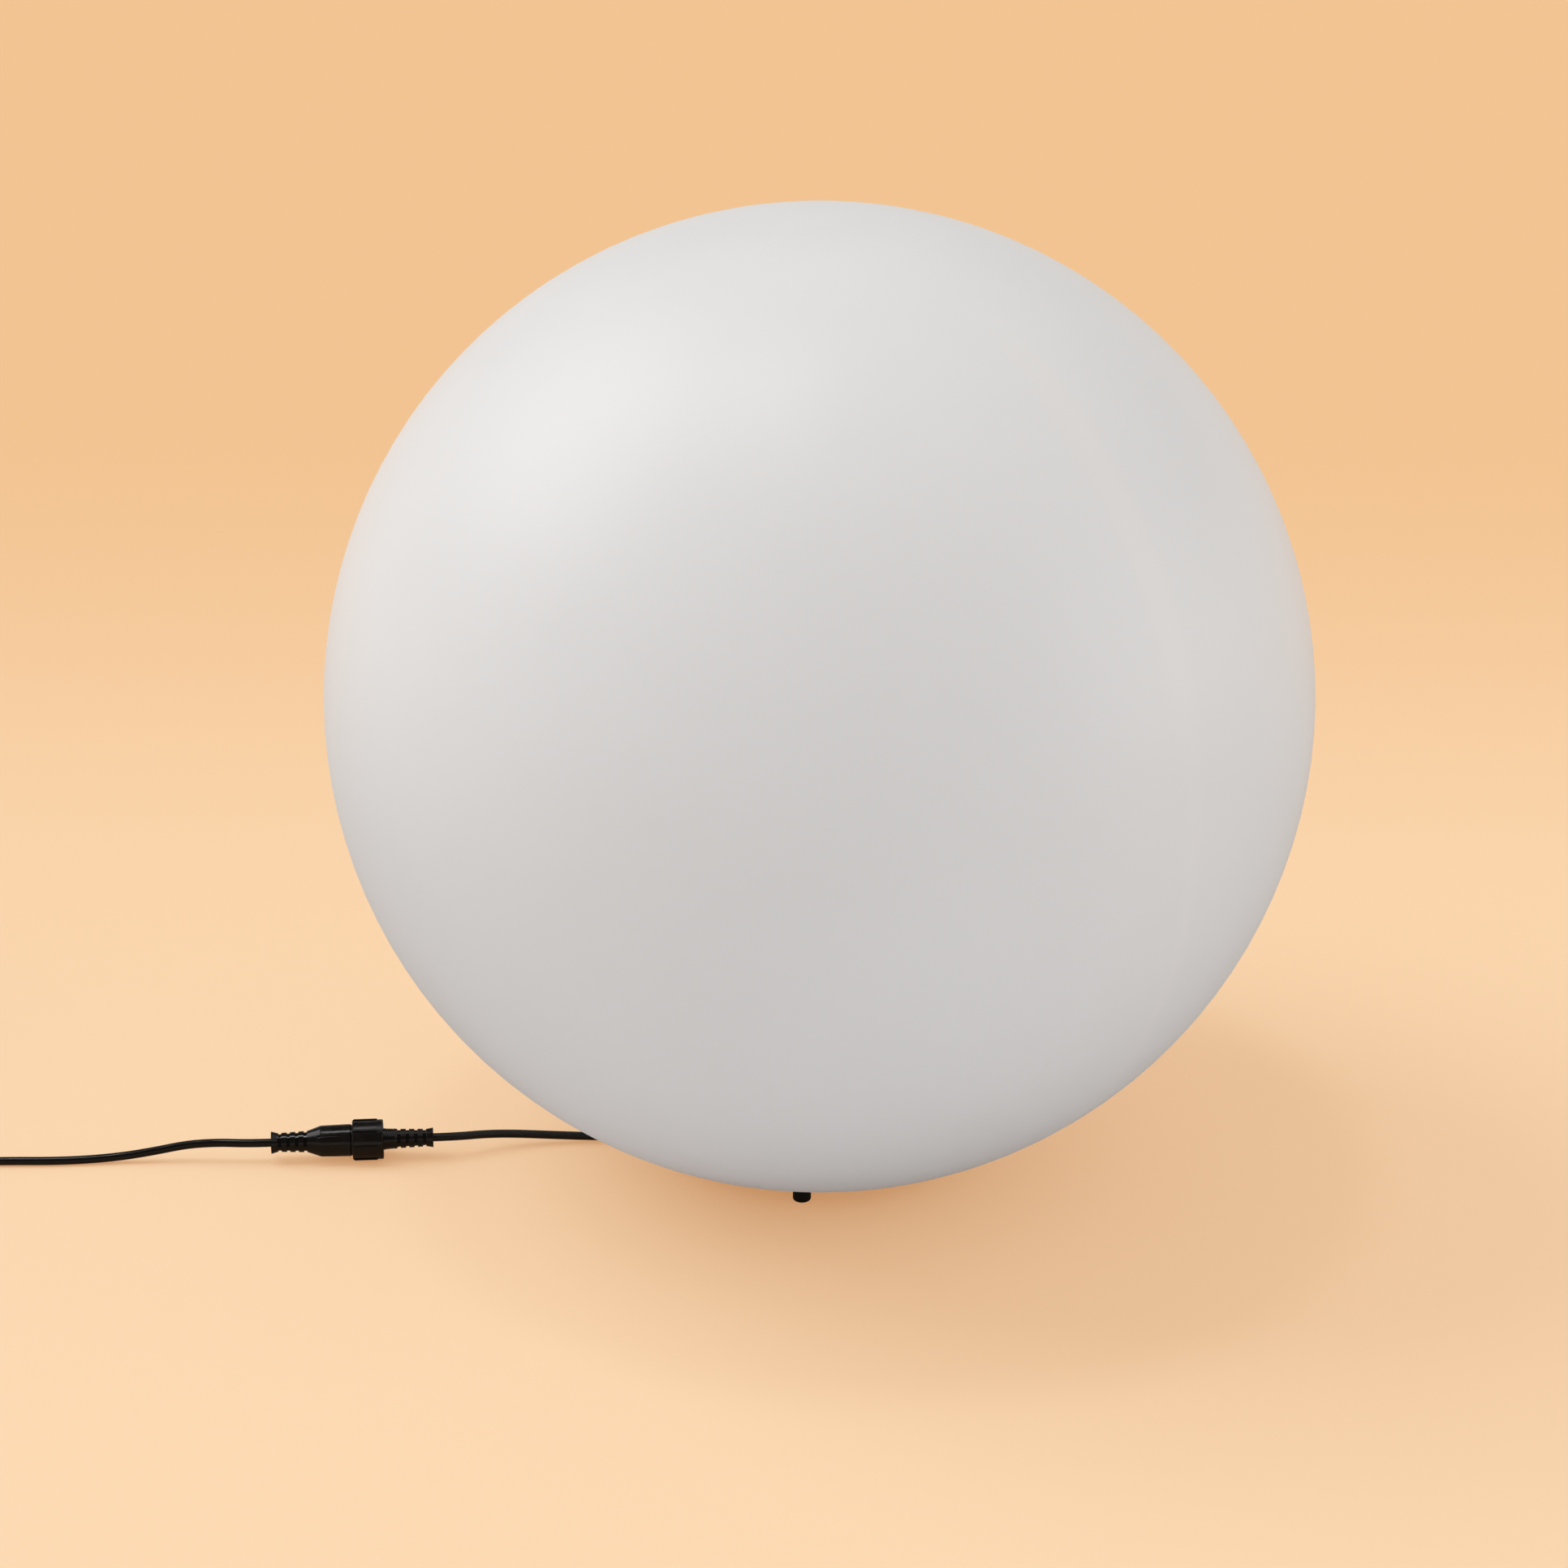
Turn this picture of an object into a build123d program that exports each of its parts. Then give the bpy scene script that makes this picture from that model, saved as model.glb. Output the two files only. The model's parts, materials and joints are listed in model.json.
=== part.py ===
from build123d import *
import os
from math import asin, cos, degrees, pi, radians, sin, sqrt, tan

# Garden globe light: a white rotation-moulded globe on a black base with an E27 lamp,
# and a low-voltage lead with a two-part screw coupling and a plug-in power supply.
# Millimetres, Z up. The origin is on the floor, under the centre of the globe.

# ---------------------------------------------------------------- globe and its mouth
globe_diameter = 400.0
globe_wall = 4.0
mouth_bore = 104.0
lip_thickness = 4.0

# ---------------------------------------------------------------- bayonet
lug_count = 3
lug_arc = 20.0  # degrees
lug_reach = 4.0
lug_thickness = 3.0
lug_lift = 0.2  # over the lip
notch_arc = 40.0  # degrees
lock_overlap = 2.0  # degrees from a locked lug's end to its notch
release_margin = 4.0  # degrees from a free lug's end to the notch's end
bayonet_gap = 0.5
stop_gap = 0.3

# ---------------------------------------------------------------- base tray
land_overhang = 0.9  # the globe's land stands out past the flange
tray_gap = 0.6  # from the flange up to the globe's land
flange_thickness = 3.1
floor_thickness = 2.6
collar_wall = 2.3
collar_height = 14.6  # over the flange
tray_edge = 0.8
rib_count = 6
rib_thickness = 1.6
rib_height = 5.0
rib_inner = 24.0
seal_clearance = 0.85  # outside the lugs and stops
seal_width = 3.6
seal_depth = 1.2
seal_inset = 1.6

# ---------------------------------------------------------------- feet
foot_count = 3
foot_diameter = 7.5
foot_inset = 0.25
foot_first = -96.5  # degrees
foot_recess = 0.8
foot_side_gap = 0.1
foot_round = 1.0

# ---------------------------------------------------------------- gland pocket
lead_azimuth = 184.0  # degrees, the side on which the lead leaves
gland_tilt = 30.0  # degrees below the horizontal
gland_seat_radius = 22.0
gland_seat_height = 15.0
pocket_wall = 2.4
pocket_clearance = 3.5  # beside the gland's hexagon
pocket_headroom = 9.0
pocket_end_gap = 0.8  # inside the collar

# ---------------------------------------------------------------- cable gland
gland_thread = 10.0
gland_flats = 12.0
gland_hex = 3.0
gasket_thickness = 0.9
gland_tail = 9.5
gland_neck = 5.4
gland_neck_diameter = 9.4
gland_nut_gap = 0.4
gland_nut_length = 7.7
gland_nut_wall = 1.2
locknut_flats = 13.0
locknut_thickness = 3.0
gland_bore_gap = 0.4
gland_seal_length = 5.0
gland_seal_wall = 1.7
thread_gap = 0.1

# ---------------------------------------------------------------- leads
lead_diameter = 3.5
seal_gap = 0.05
wire_diameter = 1.5
wire_pitch = 1.8
wire_spread = 3.2
jacket_end = 13.0  # inwards from the gland's seat
wire_bend = 3.0

# ---------------------------------------------------------------- lampholder and its bridge
bridge_height = 32.0
bridge_thickness = 1.5
bridge_width = 22.0
bridge_corner = 4.0
bridge_screw_pitch = 62.0
boss_diameter = 9.0
screw_diameter = 3.5
screw_length = 12.0
screw_head_diameter = 7.0
screw_head_height = 2.2
screw_slot_width = 1.0
screw_slot_depth = 1.0

nipple_diameter = 10.0
nipple_bore = 7.2
nipple_length = 12.0
nipple_below = 4.0
nipple_nut_flats = 14.0
nipple_nut_thickness = 3.0

holder_diameter = 39.0
holder_top_diameter = 38.0
holder_cap_height = 16.5
holder_cap_flat = 24.0
holder_cap_wall = 2.2
holder_height = 58.5
holder_bore = 30.8
holder_ledge = 1.5
spigot_depth = 4.2
spigot_gap = 0.2
insert_thickness = 10.0
insert_gap = 0.1
terminal_offset = 9.0
terminal_width = 5.0
terminal_height = 4.6
terminal_screw = 3.0
terminal_screw_stand = 1.2
shell_bore = 26.8
shell_wall = 0.4
shell_height = 25.0
shell_floor_bore = 13.0
tongue_width = 6.0
tongue_length = 9.0
tongue_rise = 2.1
tongue_thickness = 0.5
tongue_gap = 0.1

# ---------------------------------------------------------------- lamp
contact_diameter = 9.6
contact_height = 1.2
insulator_height = 3.0
insulator_diameter = 23.8
cap_diameter = 26.2
cap_wall = 0.6
cap_length = 21.5
cap_chamfer = 1.4
lamp_spigot = 8.0
lamp_spigot_gap = 0.05
lamp_neck_diameter = 29.2
lamp_neck_length = 5.0
lamp_body_length = 42.0
lamp_diameter = 60.0
lamp_rim_diameter = 58.0
lamp_rim_wall = 1.6
dome_wall = 1.4
dome_skirt = 2.5
dome_gap = 0.1
board_drop = 3.5
board_thickness = 1.6
board_gap = 0.3
chip_count = 12
chip_ring = 34.0
chip_length = 3.5
chip_width = 2.8
chip_height = 0.8

# ---------------------------------------------------------------- coupling on the lead
coupling_end = (-228.43, -24.23)  # where the supply lead leaves it
coupling_yaw = 4.63  # degrees
coupling_length = 67.5
nut_length = 12.85
nut_collar_length = 2.5
nut_collar_diameter = 16.6
nut_valley_diameter = 16.0
nut_rib_diameter = 17.3
nut_rib_count = 6
nut_rib_arc = 15.0  # degrees
nut_chamfer = 0.7
nut_end_wall = 1.2
nut_gap = 0.2

socket_front_diameter = 13.5
socket_body_diameter = 13.0
socket_body_start = 21.2
cone_start = 15.1
shoulder_gap = 0.45
socket_nose_diameter = 12.9
nose_gap = 0.6  # to the plug's flange
cavity_diameter = 9.0
cavity_gap = 0.5  # beyond the spigot's tip
flute_count = 4
flute_width = 1.5
flute_depth = 0.55
flute_length = 9.5
flute_end = 5.1  # short of the socket's shoulder

relief_first = 3.6
relief_pitch = 3.55
relief_notches = 4
notch_width = 1.4
notch_depth = 0.55
relief_flare = 2.6
window_width = 3.8
window_floor = 4.9
window_lift = 26.0  # degrees up from the front
socket_relief_end = 9.4
socket_relief_neck = 7.9
socket_relief_root = 9.0
plug_relief_end = 8.3
plug_relief_neck = 7.4
plug_relief_root = 8.2

plug_tail_diameter = 9.1
plug_tail_start = 15.9  # from the fixture lead's end
plug_tail_length = 4.9  # from there to the nut
tail_groove_count = 4
tail_groove_pitch = 0.9
tail_groove_width = 0.4
tail_groove_depth = 0.25
plug_flange_diameter = 12.4
plug_flange_thickness = 1.7
plug_spigot_gap = 0.2
plug_spigot_length = 7.4
ring_section = 0.9
ring_place = 1.8  # behind the flange's face
pin_diameter = 1.6
pin_pitch = 3.4
pin_reach = 7.0
pin_root = 6.0
pin_gap = 0.02
contact_wall = 0.3
contact_gap = 0.06
contact_length = 8.2
contact_recess = 0.3

# ---------------------------------------------------------------- coil and power supply
coil_centre = (-427.0, -5.5)
coil_mean_diameter = 38.6
coil_wide = 4  # turns side by side
coil_layers = 6
supply_length = 72.0
supply_width = 44.0
supply_depth = 30.0
supply_back_depth = 10.0
supply_corner = 7.0
supply_edge = 2.0
relief_boot_length = 22.0
relief_boot_diameter = 8.4
relief_boot_tip = 5.4
boot_grooves = 5
boot_groove_width = 1.2
boot_groove_depth = 0.7
mains_pin_diameter = 4.0
mains_pin_length = 19.0
mains_pin_pitch = 19.0
mains_pin_inset = 14.0
mains_pin_round = 1.4
plateau_height = 1.5
plateau_length = 34.0
plateau_width = 13.0

# ---------------------------------------------------------------- worked-out sizes
globe_radius = globe_diameter / 2
mouth_radius = mouth_bore / 2
collar_radius = mouth_radius - bayonet_gap
lug_radius = collar_radius + lug_reach
notch_radius = lug_radius + bayonet_gap
seal_inner = lug_radius + seal_clearance
seal_outer = seal_inner + seal_width
flange_radius = seal_outer + seal_inset
land_radius = flange_radius + land_overhang
land_height = globe_radius - sqrt(globe_radius**2 - land_radius**2)
lip_top = land_height + lip_thickness
lug_bottom = lip_top + lug_lift
twist_travel = lug_arc + lock_overlap + release_margin  # degrees, locked to released
flange_top = land_height - tray_gap
tray_bottom = flange_top - flange_thickness
floor_top = tray_bottom + floor_thickness
collar_top = flange_top + collar_height
foot_circle = flange_radius - tray_edge - foot_inset - foot_diameter / 2
foot_top = tray_bottom + foot_recess
coupling_height = nut_collar_diameter / 2
lead_radius = lead_diameter / 2

lead_out = Vector(cos(radians(lead_azimuth)), sin(radians(lead_azimuth)), 0)
lead_plane = Plane(origin=(0, 0, 0), x_dir=lead_out, z_dir=lead_out.cross(Vector(0, 0, 1)))
gland_out = lead_out * cos(radians(gland_tilt)) - Vector(0, 0, sin(radians(gland_tilt)))
gland_seat = lead_out * gland_seat_radius + Vector(0, 0, gland_seat_height)
gland_plane = Plane(origin=gland_seat, x_dir=gland_out, z_dir=lead_plane.z_dir)
gland_face = Plane(origin=gland_seat, x_dir=lead_plane.z_dir, z_dir=gland_out)

coupling_along = Vector(cos(radians(coupling_yaw)), sin(radians(coupling_yaw)), 0)
coupling_side = coupling_along.cross(Vector(0, 0, 1))
coupling_plane = Plane(
    origin=(*coupling_end, coupling_height), x_dir=coupling_along, z_dir=coupling_side
)


# ---------------------------------------------------------------- shared operations
def upright(*outline):
    """A solid turned about Z from an outline of (radius, height) points."""
    with BuildPart() as piece:
        with BuildSketch(Plane.XZ):
            with BuildLine():
                Polyline(*outline, close=True)
            make_face()
        revolve(axis=Axis.Z)
    return piece


def turned(plane, *outline):
    """A solid turned about a plane's X axis from an outline of (along, radius) points."""
    with BuildPart() as piece:
        with BuildSketch(plane):
            with BuildLine():
                Polyline(*outline, close=True)
            make_face()
        revolve(axis=Axis(plane.origin, plane.x_dir))
    return piece


def ring_sector(inner, outer, middle, arc):
    """A flat piece of a ring, arc degrees wide about the middle angle."""
    with BuildSketch() as sector:
        with BuildLine():
            near = CenterArc((0, 0), inner, middle - arc / 2, arc)
            far = CenterArc((0, 0), outer, middle - arc / 2, arc)
            Line(near @ 0, far @ 0)
            Line(near @ 1, far @ 1)
        make_face()
    return sector.sketch


def across(plane, along):
    """The plane square to a plane's X axis, some way along it, with its X towards the viewer."""
    return Plane(
        origin=plane.origin + plane.x_dir * along, x_dir=plane.z_dir, z_dir=plane.x_dir
    )


def corner_radii(points):
    """The largest arcs that a route's corners leave room for."""
    runs = [Vector(*b) - Vector(*a) for a, b in zip(points, points[1:])]
    radii = []
    for before, after in zip(runs, runs[1:]):
        half_turn = radians(before.get_angle(after)) / 2
        radii.append(0.45 * min(before.length, after.length) / tan(half_turn))
    return radii


def tube(points, diameter, radii, name):
    """A round cord along straight runs and tangent arcs."""
    with BuildPart() as cord:
        with BuildLine() as route:
            FilletPolyline(*points, radius=radii)
        with BuildSketch(Plane(origin=route.line @ 0, z_dir=route.line % 0)):
            Circle(diameter / 2)
        sweep(path=route.line)
    length = sum(run.length for run in route.edges())
    expected = pi * diameter**2 / 4 * length
    print(
        f"{name}: {length:.1f} long, radii {[round(r, 1) for r in radii]},"
        f" volume {cord.part.volume:.1f} of {expected:.1f}"
    )
    return cord


# ---------------------------------------------------------------- globe shell
inner_radius = globe_radius - globe_wall
land_angle = degrees(asin((globe_radius - land_height) / globe_radius))
lip_angle = degrees(asin((globe_radius - lip_top) / inner_radius))
notch_middle = -(lug_arc / 2 + lock_overlap + notch_arc / 2)

with BuildPart() as globe_shell:
    with BuildSketch(Plane.XZ):
        with BuildLine():
            outside = CenterArc((0, globe_radius), globe_radius, 90, -90 - land_angle)
            inside = CenterArc((0, globe_radius), inner_radius, 90, -90 - lip_angle)
            Line(outside @ 0, inside @ 0)
            Polyline(
                outside @ 1,
                (mouth_radius, land_height),
                (mouth_radius, lip_top),
                inside @ 1,
            )
        make_face()
    revolve(axis=Axis.Z)
    with BuildSketch(Plane.XY.offset(land_height)):
        for n in range(lug_count):
            middle = 360 / lug_count * n + notch_middle
            add(ring_sector(mouth_radius - bayonet_gap, notch_radius, middle, notch_arc))
    extrude(amount=lip_thickness, mode=Mode.SUBTRACT)
globe_shell.part.label = "globe_shell"

# ---------------------------------------------------------------- base tray
stop_angle = degrees(stop_gap / lug_radius)
stop_arc = notch_arc - twist_travel - 2 * stop_angle
stop_middle = notch_middle + twist_travel / 2

gland_corner = gland_flats / sqrt(3)
pocket_half_width = gland_corner + pocket_clearance
pocket_reach = collar_radius - collar_wall - pocket_wall - pocket_end_gap
tilt_cos, tilt_sin = cos(radians(gland_tilt)), sin(radians(gland_tilt))
pocket_low = tray_bottom - pocket_wall
low_run = (pocket_low - gland_seat_height) / tilt_cos
wall_foot = (gland_seat_radius + low_run * tilt_sin, pocket_low)
wall_head = (
    gland_seat_radius + pocket_headroom * tilt_sin,
    gland_seat_height + pocket_headroom * tilt_cos,
)
ceiling_drop = (pocket_reach - wall_head[0]) * tilt_sin / tilt_cos
pocket_outline = [
    wall_foot,
    wall_head,
    (pocket_reach, wall_head[1] - ceiling_drop),
    (pocket_reach, pocket_low),
]

with BuildPart() as base_tray:
    with BuildSketch(Plane.XZ):
        with BuildLine():
            Polyline(
                (0, tray_bottom),
                (flange_radius - tray_edge, tray_bottom),
                (flange_radius, tray_bottom + tray_edge),
                (flange_radius, flange_top),
                (seal_outer, flange_top),
                (seal_outer, flange_top - seal_depth),
                (seal_inner, flange_top - seal_depth),
                (seal_inner, flange_top),
                (collar_radius, flange_top),
                (collar_radius, collar_top),
                (collar_radius - collar_wall, collar_top),
                (collar_radius - collar_wall, floor_top),
                (0, floor_top),
                close=True,
            )
        make_face()
    revolve(axis=Axis.Z)
    # bayonet lugs, and the stops that run in the globe's notches
    with BuildSketch(Plane.XY.offset(lug_bottom)):
        for n in range(lug_count):
            add(ring_sector(collar_radius - 1, lug_radius, 360 / lug_count * n, lug_arc))
    extrude(amount=lug_thickness)
    with BuildSketch(Plane.XY.offset(flange_top)):
        for n in range(lug_count):
            middle = 360 / lug_count * n + stop_middle
            add(ring_sector(collar_radius - 1, lug_radius, middle, stop_arc))
    extrude(amount=lug_bottom + lug_thickness - flange_top)
    # ribs on the floor and bosses for the bridge
    with BuildSketch(Plane.XY.offset(tray_bottom)):
        rib_length = collar_radius - collar_wall / 2 - rib_inner
        with PolarLocations(rib_inner + rib_length / 2, rib_count, start_angle=180 / rib_count):
            Rectangle(rib_length, rib_thickness)
    extrude(amount=floor_thickness + rib_height)
    with BuildSketch(Plane.XY.offset(tray_bottom)):
        with Locations((0, bridge_screw_pitch / 2), (0, -bridge_screw_pitch / 2)):
            Circle(boss_diameter / 2)
    extrude(amount=bridge_height - tray_bottom)
    # hood over the gland's pocket
    with BuildSketch(lead_plane):
        with BuildLine():
            Polyline(*pocket_outline, close=True)
        make_face()
        offset(amount=pocket_wall, kind=Kind.INTERSECTION)
    extrude(amount=pocket_half_width + pocket_wall, both=True)
    split(bisect_by=Plane.XY.offset(tray_bottom), keep=Keep.TOP)
    # openings: pocket, gland hole, screw holes and foot recesses
    with BuildSketch(lead_plane):
        with BuildLine():
            Polyline(*pocket_outline, close=True)
        make_face()
    extrude(amount=pocket_half_width, both=True, mode=Mode.SUBTRACT)
    with BuildSketch(gland_face):
        Circle(gland_thread / 2 + thread_gap)
    extrude(amount=pocket_wall * 2, both=True, mode=Mode.SUBTRACT)
    with BuildSketch(Plane.XY.offset(bridge_height)):
        with Locations((0, bridge_screw_pitch / 2), (0, -bridge_screw_pitch / 2)):
            Circle(screw_diameter / 2 + thread_gap)
    extrude(amount=-(screw_length + 1), mode=Mode.SUBTRACT)
    with BuildSketch(Plane.XY.offset(tray_bottom)):
        with PolarLocations(foot_circle, foot_count, start_angle=foot_first):
            Circle(foot_diameter / 2 + foot_side_gap)
    extrude(amount=foot_recess, mode=Mode.SUBTRACT)
base_tray.part.label = "base_tray"

seal_ring = upright(
    (seal_inner + thread_gap, flange_top - seal_depth),
    (seal_outer - thread_gap, flange_top - seal_depth),
    (seal_outer - thread_gap, land_height),
    (seal_inner + thread_gap, land_height),
)
seal_ring.part.label = "seal_ring"

with BuildPart() as rubber_feet:
    with BuildSketch():
        with PolarLocations(foot_circle, foot_count, start_angle=foot_first):
            Circle(foot_diameter / 2)
    extrude(amount=foot_top)
    fillet(rubber_feet.edges().group_by(Axis.Z)[0], foot_round)
rubber_feet.part.label = "rubber_feet"

# ---------------------------------------------------------------- cable gland
# (along, radius) outlines start at the seat on the pocket's sloping wall.
hex_start = gasket_thickness
hex_end = hex_start + gland_hex
neck_end = hex_end + gland_neck
nut_begin = hex_end + gland_nut_gap
nut_finish = nut_begin + gland_nut_length
gland_bore = lead_radius + gland_bore_gap
seal_seat = lead_radius + seal_gap + gland_seal_wall

gland_gasket = turned(
    gland_plane,
    (0, gland_thread / 2 + thread_gap),
    (gasket_thickness, gland_thread / 2 + thread_gap),
    (gasket_thickness, gland_flats / 2),
    (0, gland_flats / 2),
)
gland_gasket.part.label = "gland_gasket"

with BuildPart() as gland_body:
    with BuildSketch(gland_face.offset(hex_start)):
        RegularPolygon(gland_flats / 2, 6, major_radius=False)
    extrude(amount=gland_hex)
    with BuildSketch(gland_face.offset(hex_end)):
        Circle(gland_neck_diameter / 2)
    extrude(amount=gland_neck)
    with BuildSketch(gland_face.offset(hex_start)):
        Circle(gland_thread / 2)
    extrude(amount=-(gland_tail + hex_start))
    with BuildSketch(gland_face.offset(neck_end)):
        Circle(gland_bore)
    extrude(amount=-(gland_tail + neck_end), mode=Mode.SUBTRACT)
    with BuildSketch(gland_face.offset(neck_end)):
        Circle(seal_seat + thread_gap)
    extrude(amount=-gland_seal_length, mode=Mode.SUBTRACT)
gland_body.part.label = "gland_body"

gland_seal = turned(
    gland_plane,
    (neck_end - gland_seal_length, lead_radius + seal_gap),
    (nut_finish - gland_nut_wall, lead_radius + seal_gap),
    (nut_finish - gland_nut_wall, seal_seat - 0.6),
    (neck_end, seal_seat),
    (neck_end - gland_seal_length, seal_seat),
)
gland_seal.part.label = "gland_seal"

with BuildPart() as gland_nut:
    with BuildSketch(gland_face.offset(nut_begin)):
        RegularPolygon(gland_flats / 2, 6, major_radius=False)
    extrude(amount=gland_nut_length)
    chamfer(gland_nut.faces().sort_by(Axis(gland_seat, gland_out))[-1].edges(), 1.2)
    with BuildSketch(gland_face.offset(nut_begin)):
        Circle(gland_neck_diameter / 2 + thread_gap)
    extrude(amount=gland_nut_length - gland_nut_wall, mode=Mode.SUBTRACT)
    with BuildSketch(gland_face.offset(nut_finish)):
        Circle(gland_bore)
    extrude(amount=-2 * gland_nut_wall, mode=Mode.SUBTRACT)
gland_nut.part.label = "gland_nut"

with BuildPart() as gland_locknut:
    with BuildSketch(gland_face.offset(-pocket_wall)):
        RegularPolygon(locknut_flats / 2, 6, major_radius=False)
        Circle(gland_thread / 2 + thread_gap, mode=Mode.SUBTRACT)
    extrude(amount=-locknut_thickness)
gland_locknut.part.label = "gland_locknut"

# ---------------------------------------------------------------- lead inside the base
inner_lead = turned(
    gland_plane, (-jacket_end, 0), (nut_finish, 0), (nut_finish, lead_radius), (-jacket_end, lead_radius)
)
inner_lead.part.label = "inner_lead"

holder_bottom = bridge_height + bridge_thickness
nipple_bottom = bridge_height - nipple_below
nipple_top = nipple_bottom + nipple_length
holder_split = holder_bottom + holder_cap_height
holder_top = holder_bottom + holder_height
terminal_bottom = holder_split - terminal_height


def wire(side, name):
    """One insulated wire from the jacket's end, up the nipple, to its terminal."""
    start = gland_seat - gland_out * jacket_end + lead_plane.z_dir * (side * wire_pitch / 2)
    lift = Vector(0, 0, 1)
    bend_height = start.Z + (start - lift * start.Z).length * tilt_sin / tilt_cos
    lane = Vector(0, side * wire_pitch / 2, 0)
    spread_start = nipple_top + wire_spread / 2
    route = [
        start,
        lane + lift * bend_height,
        lane + lift * spread_start,
        Vector(0, side * terminal_offset, terminal_bottom - wire_spread),
        Vector(0, side * terminal_offset, terminal_bottom),
    ]
    radii = [min(wire_bend, r) for r in corner_radii([tuple(p) for p in route])]
    return tube(route, wire_diameter, radii, name)


wire_brown = wire(1, "wire_brown")
wire_brown.part.label = "wire_brown"
wire_blue = wire(-1, "wire_blue")
wire_blue.part.label = "wire_blue"

# ---------------------------------------------------------------- bridge and nipple
with BuildPart() as holder_bridge:
    with BuildSketch(Plane.XY.offset(bridge_height)):
        RectangleRounded(bridge_width, bridge_screw_pitch + 2 * boss_diameter - 4, bridge_corner)
        Circle(nipple_diameter / 2 + thread_gap, mode=Mode.SUBTRACT)
        with Locations((0, bridge_screw_pitch / 2), (0, -bridge_screw_pitch / 2)):
            Circle(screw_diameter / 2 + thread_gap, mode=Mode.SUBTRACT)
    extrude(amount=bridge_thickness)
holder_bridge.part.label = "holder_bridge"

with BuildPart() as bridge_screws:
    with BuildSketch(Plane.XY.offset(holder_bottom)):
        with Locations((0, bridge_screw_pitch / 2), (0, -bridge_screw_pitch / 2)):
            Circle(screw_head_diameter / 2)
    extrude(amount=screw_head_height)
    fillet(bridge_screws.edges().group_by(Axis.Z)[-1], screw_head_height * 0.4)
    with BuildSketch(Plane.XY.offset(holder_bottom)):
        with Locations((0, bridge_screw_pitch / 2), (0, -bridge_screw_pitch / 2)):
            Circle(screw_diameter / 2)
    extrude(amount=-screw_length)
    with BuildSketch(Plane.XY.offset(holder_bottom + screw_head_height)):
        with Locations((0, bridge_screw_pitch / 2), (0, -bridge_screw_pitch / 2)):
            Rectangle(screw_head_diameter * 0.6, screw_slot_width)
            Rectangle(screw_slot_width, screw_head_diameter * 0.6)
    extrude(amount=-screw_slot_depth, mode=Mode.SUBTRACT)
bridge_screws.part.label = "bridge_screws"

nipple = upright(
    (nipple_bore / 2, nipple_bottom),
    (nipple_diameter / 2, nipple_bottom),
    (nipple_diameter / 2, nipple_top),
    (nipple_bore / 2, nipple_top),
)
nipple.part.label = "nipple"

with BuildPart() as nipple_nut:
    with BuildSketch(Plane.XY.offset(bridge_height)):
        RegularPolygon(nipple_nut_flats / 2, 6, major_radius=False)
        Circle(nipple_diameter / 2 + thread_gap, mode=Mode.SUBTRACT)
    extrude(amount=-nipple_nut_thickness)
nipple_nut.part.label = "nipple_nut"

# ---------------------------------------------------------------- lampholder
holder_radius = holder_diameter / 2
bore_radius = holder_bore / 2
spigot_radius = holder_radius - holder_cap_wall - spigot_gap
ledge_radius = bore_radius - holder_ledge
insert_top = holder_split + insert_thickness

with BuildPart() as holder_cap:
    with BuildSketch(Plane.XZ):
        with BuildLine():
            shoulder = holder_cap_height * 0.62
            Polyline(
                (nipple_diameter / 2 + thread_gap, holder_bottom),
                (holder_cap_flat / 2, holder_bottom),
                (holder_radius - 1.6, holder_bottom + shoulder * 0.7),
                (holder_radius, holder_bottom + shoulder),
                (holder_radius, holder_split),
                (holder_radius - holder_cap_wall, holder_split),
                (holder_radius - holder_cap_wall, holder_split - spigot_depth - 1),
                (holder_cap_flat / 2 - 1, holder_bottom + holder_cap_wall),
                (nipple_diameter / 2 + thread_gap, holder_bottom + holder_cap_wall),
                close=True,
            )
        make_face()
    revolve(axis=Axis.Z)
holder_cap.part.label = "holder_cap"

holder_body = upright(
    (ledge_radius, holder_split - spigot_depth),
    (spigot_radius, holder_split - spigot_depth),
    (spigot_radius, holder_split),
    (holder_radius, holder_split),
    (holder_radius, holder_split + 1.5),
    (holder_radius - 0.6, holder_split + 2.3),
    (holder_top_diameter / 2, holder_top - 1),
    (holder_top_diameter / 2 - 1, holder_top),
    (bore_radius, holder_top),
    (bore_radius, holder_split),
    (ledge_radius, holder_split),
)
holder_body.part.label = "holder_body"

with BuildPart() as holder_insert:
    with BuildSketch(Plane.XY.offset(holder_split)):
        Circle(bore_radius - insert_gap)
    extrude(amount=insert_thickness)
holder_insert.part.label = "holder_insert"

with BuildPart() as holder_terminals:
    with BuildSketch(Plane.XY.offset(holder_split)):
        with Locations((0, terminal_offset), (0, -terminal_offset)):
            Rectangle(terminal_width, terminal_width)
    extrude(amount=-terminal_height)
    with BuildSketch(Plane.YZ.offset(terminal_width / 2)):
        with Locations(
            (terminal_offset, holder_split - terminal_height / 2),
            (-terminal_offset, holder_split - terminal_height / 2),
        ):
            Circle(terminal_screw / 2)
    extrude(amount=terminal_screw_stand)
holder_terminals.part.label = "holder_terminals"

shell_radius = shell_bore / 2
holder_shell = upright(
    (shell_floor_bore / 2, insert_top),
    (shell_radius + shell_wall, insert_top),
    (shell_radius + shell_wall, insert_top + shell_height),
    (shell_radius, insert_top + shell_height),
    (shell_radius, insert_top + shell_wall),
    (shell_floor_bore / 2, insert_top + shell_wall),
)
holder_shell.part.label = "holder_shell"

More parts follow.
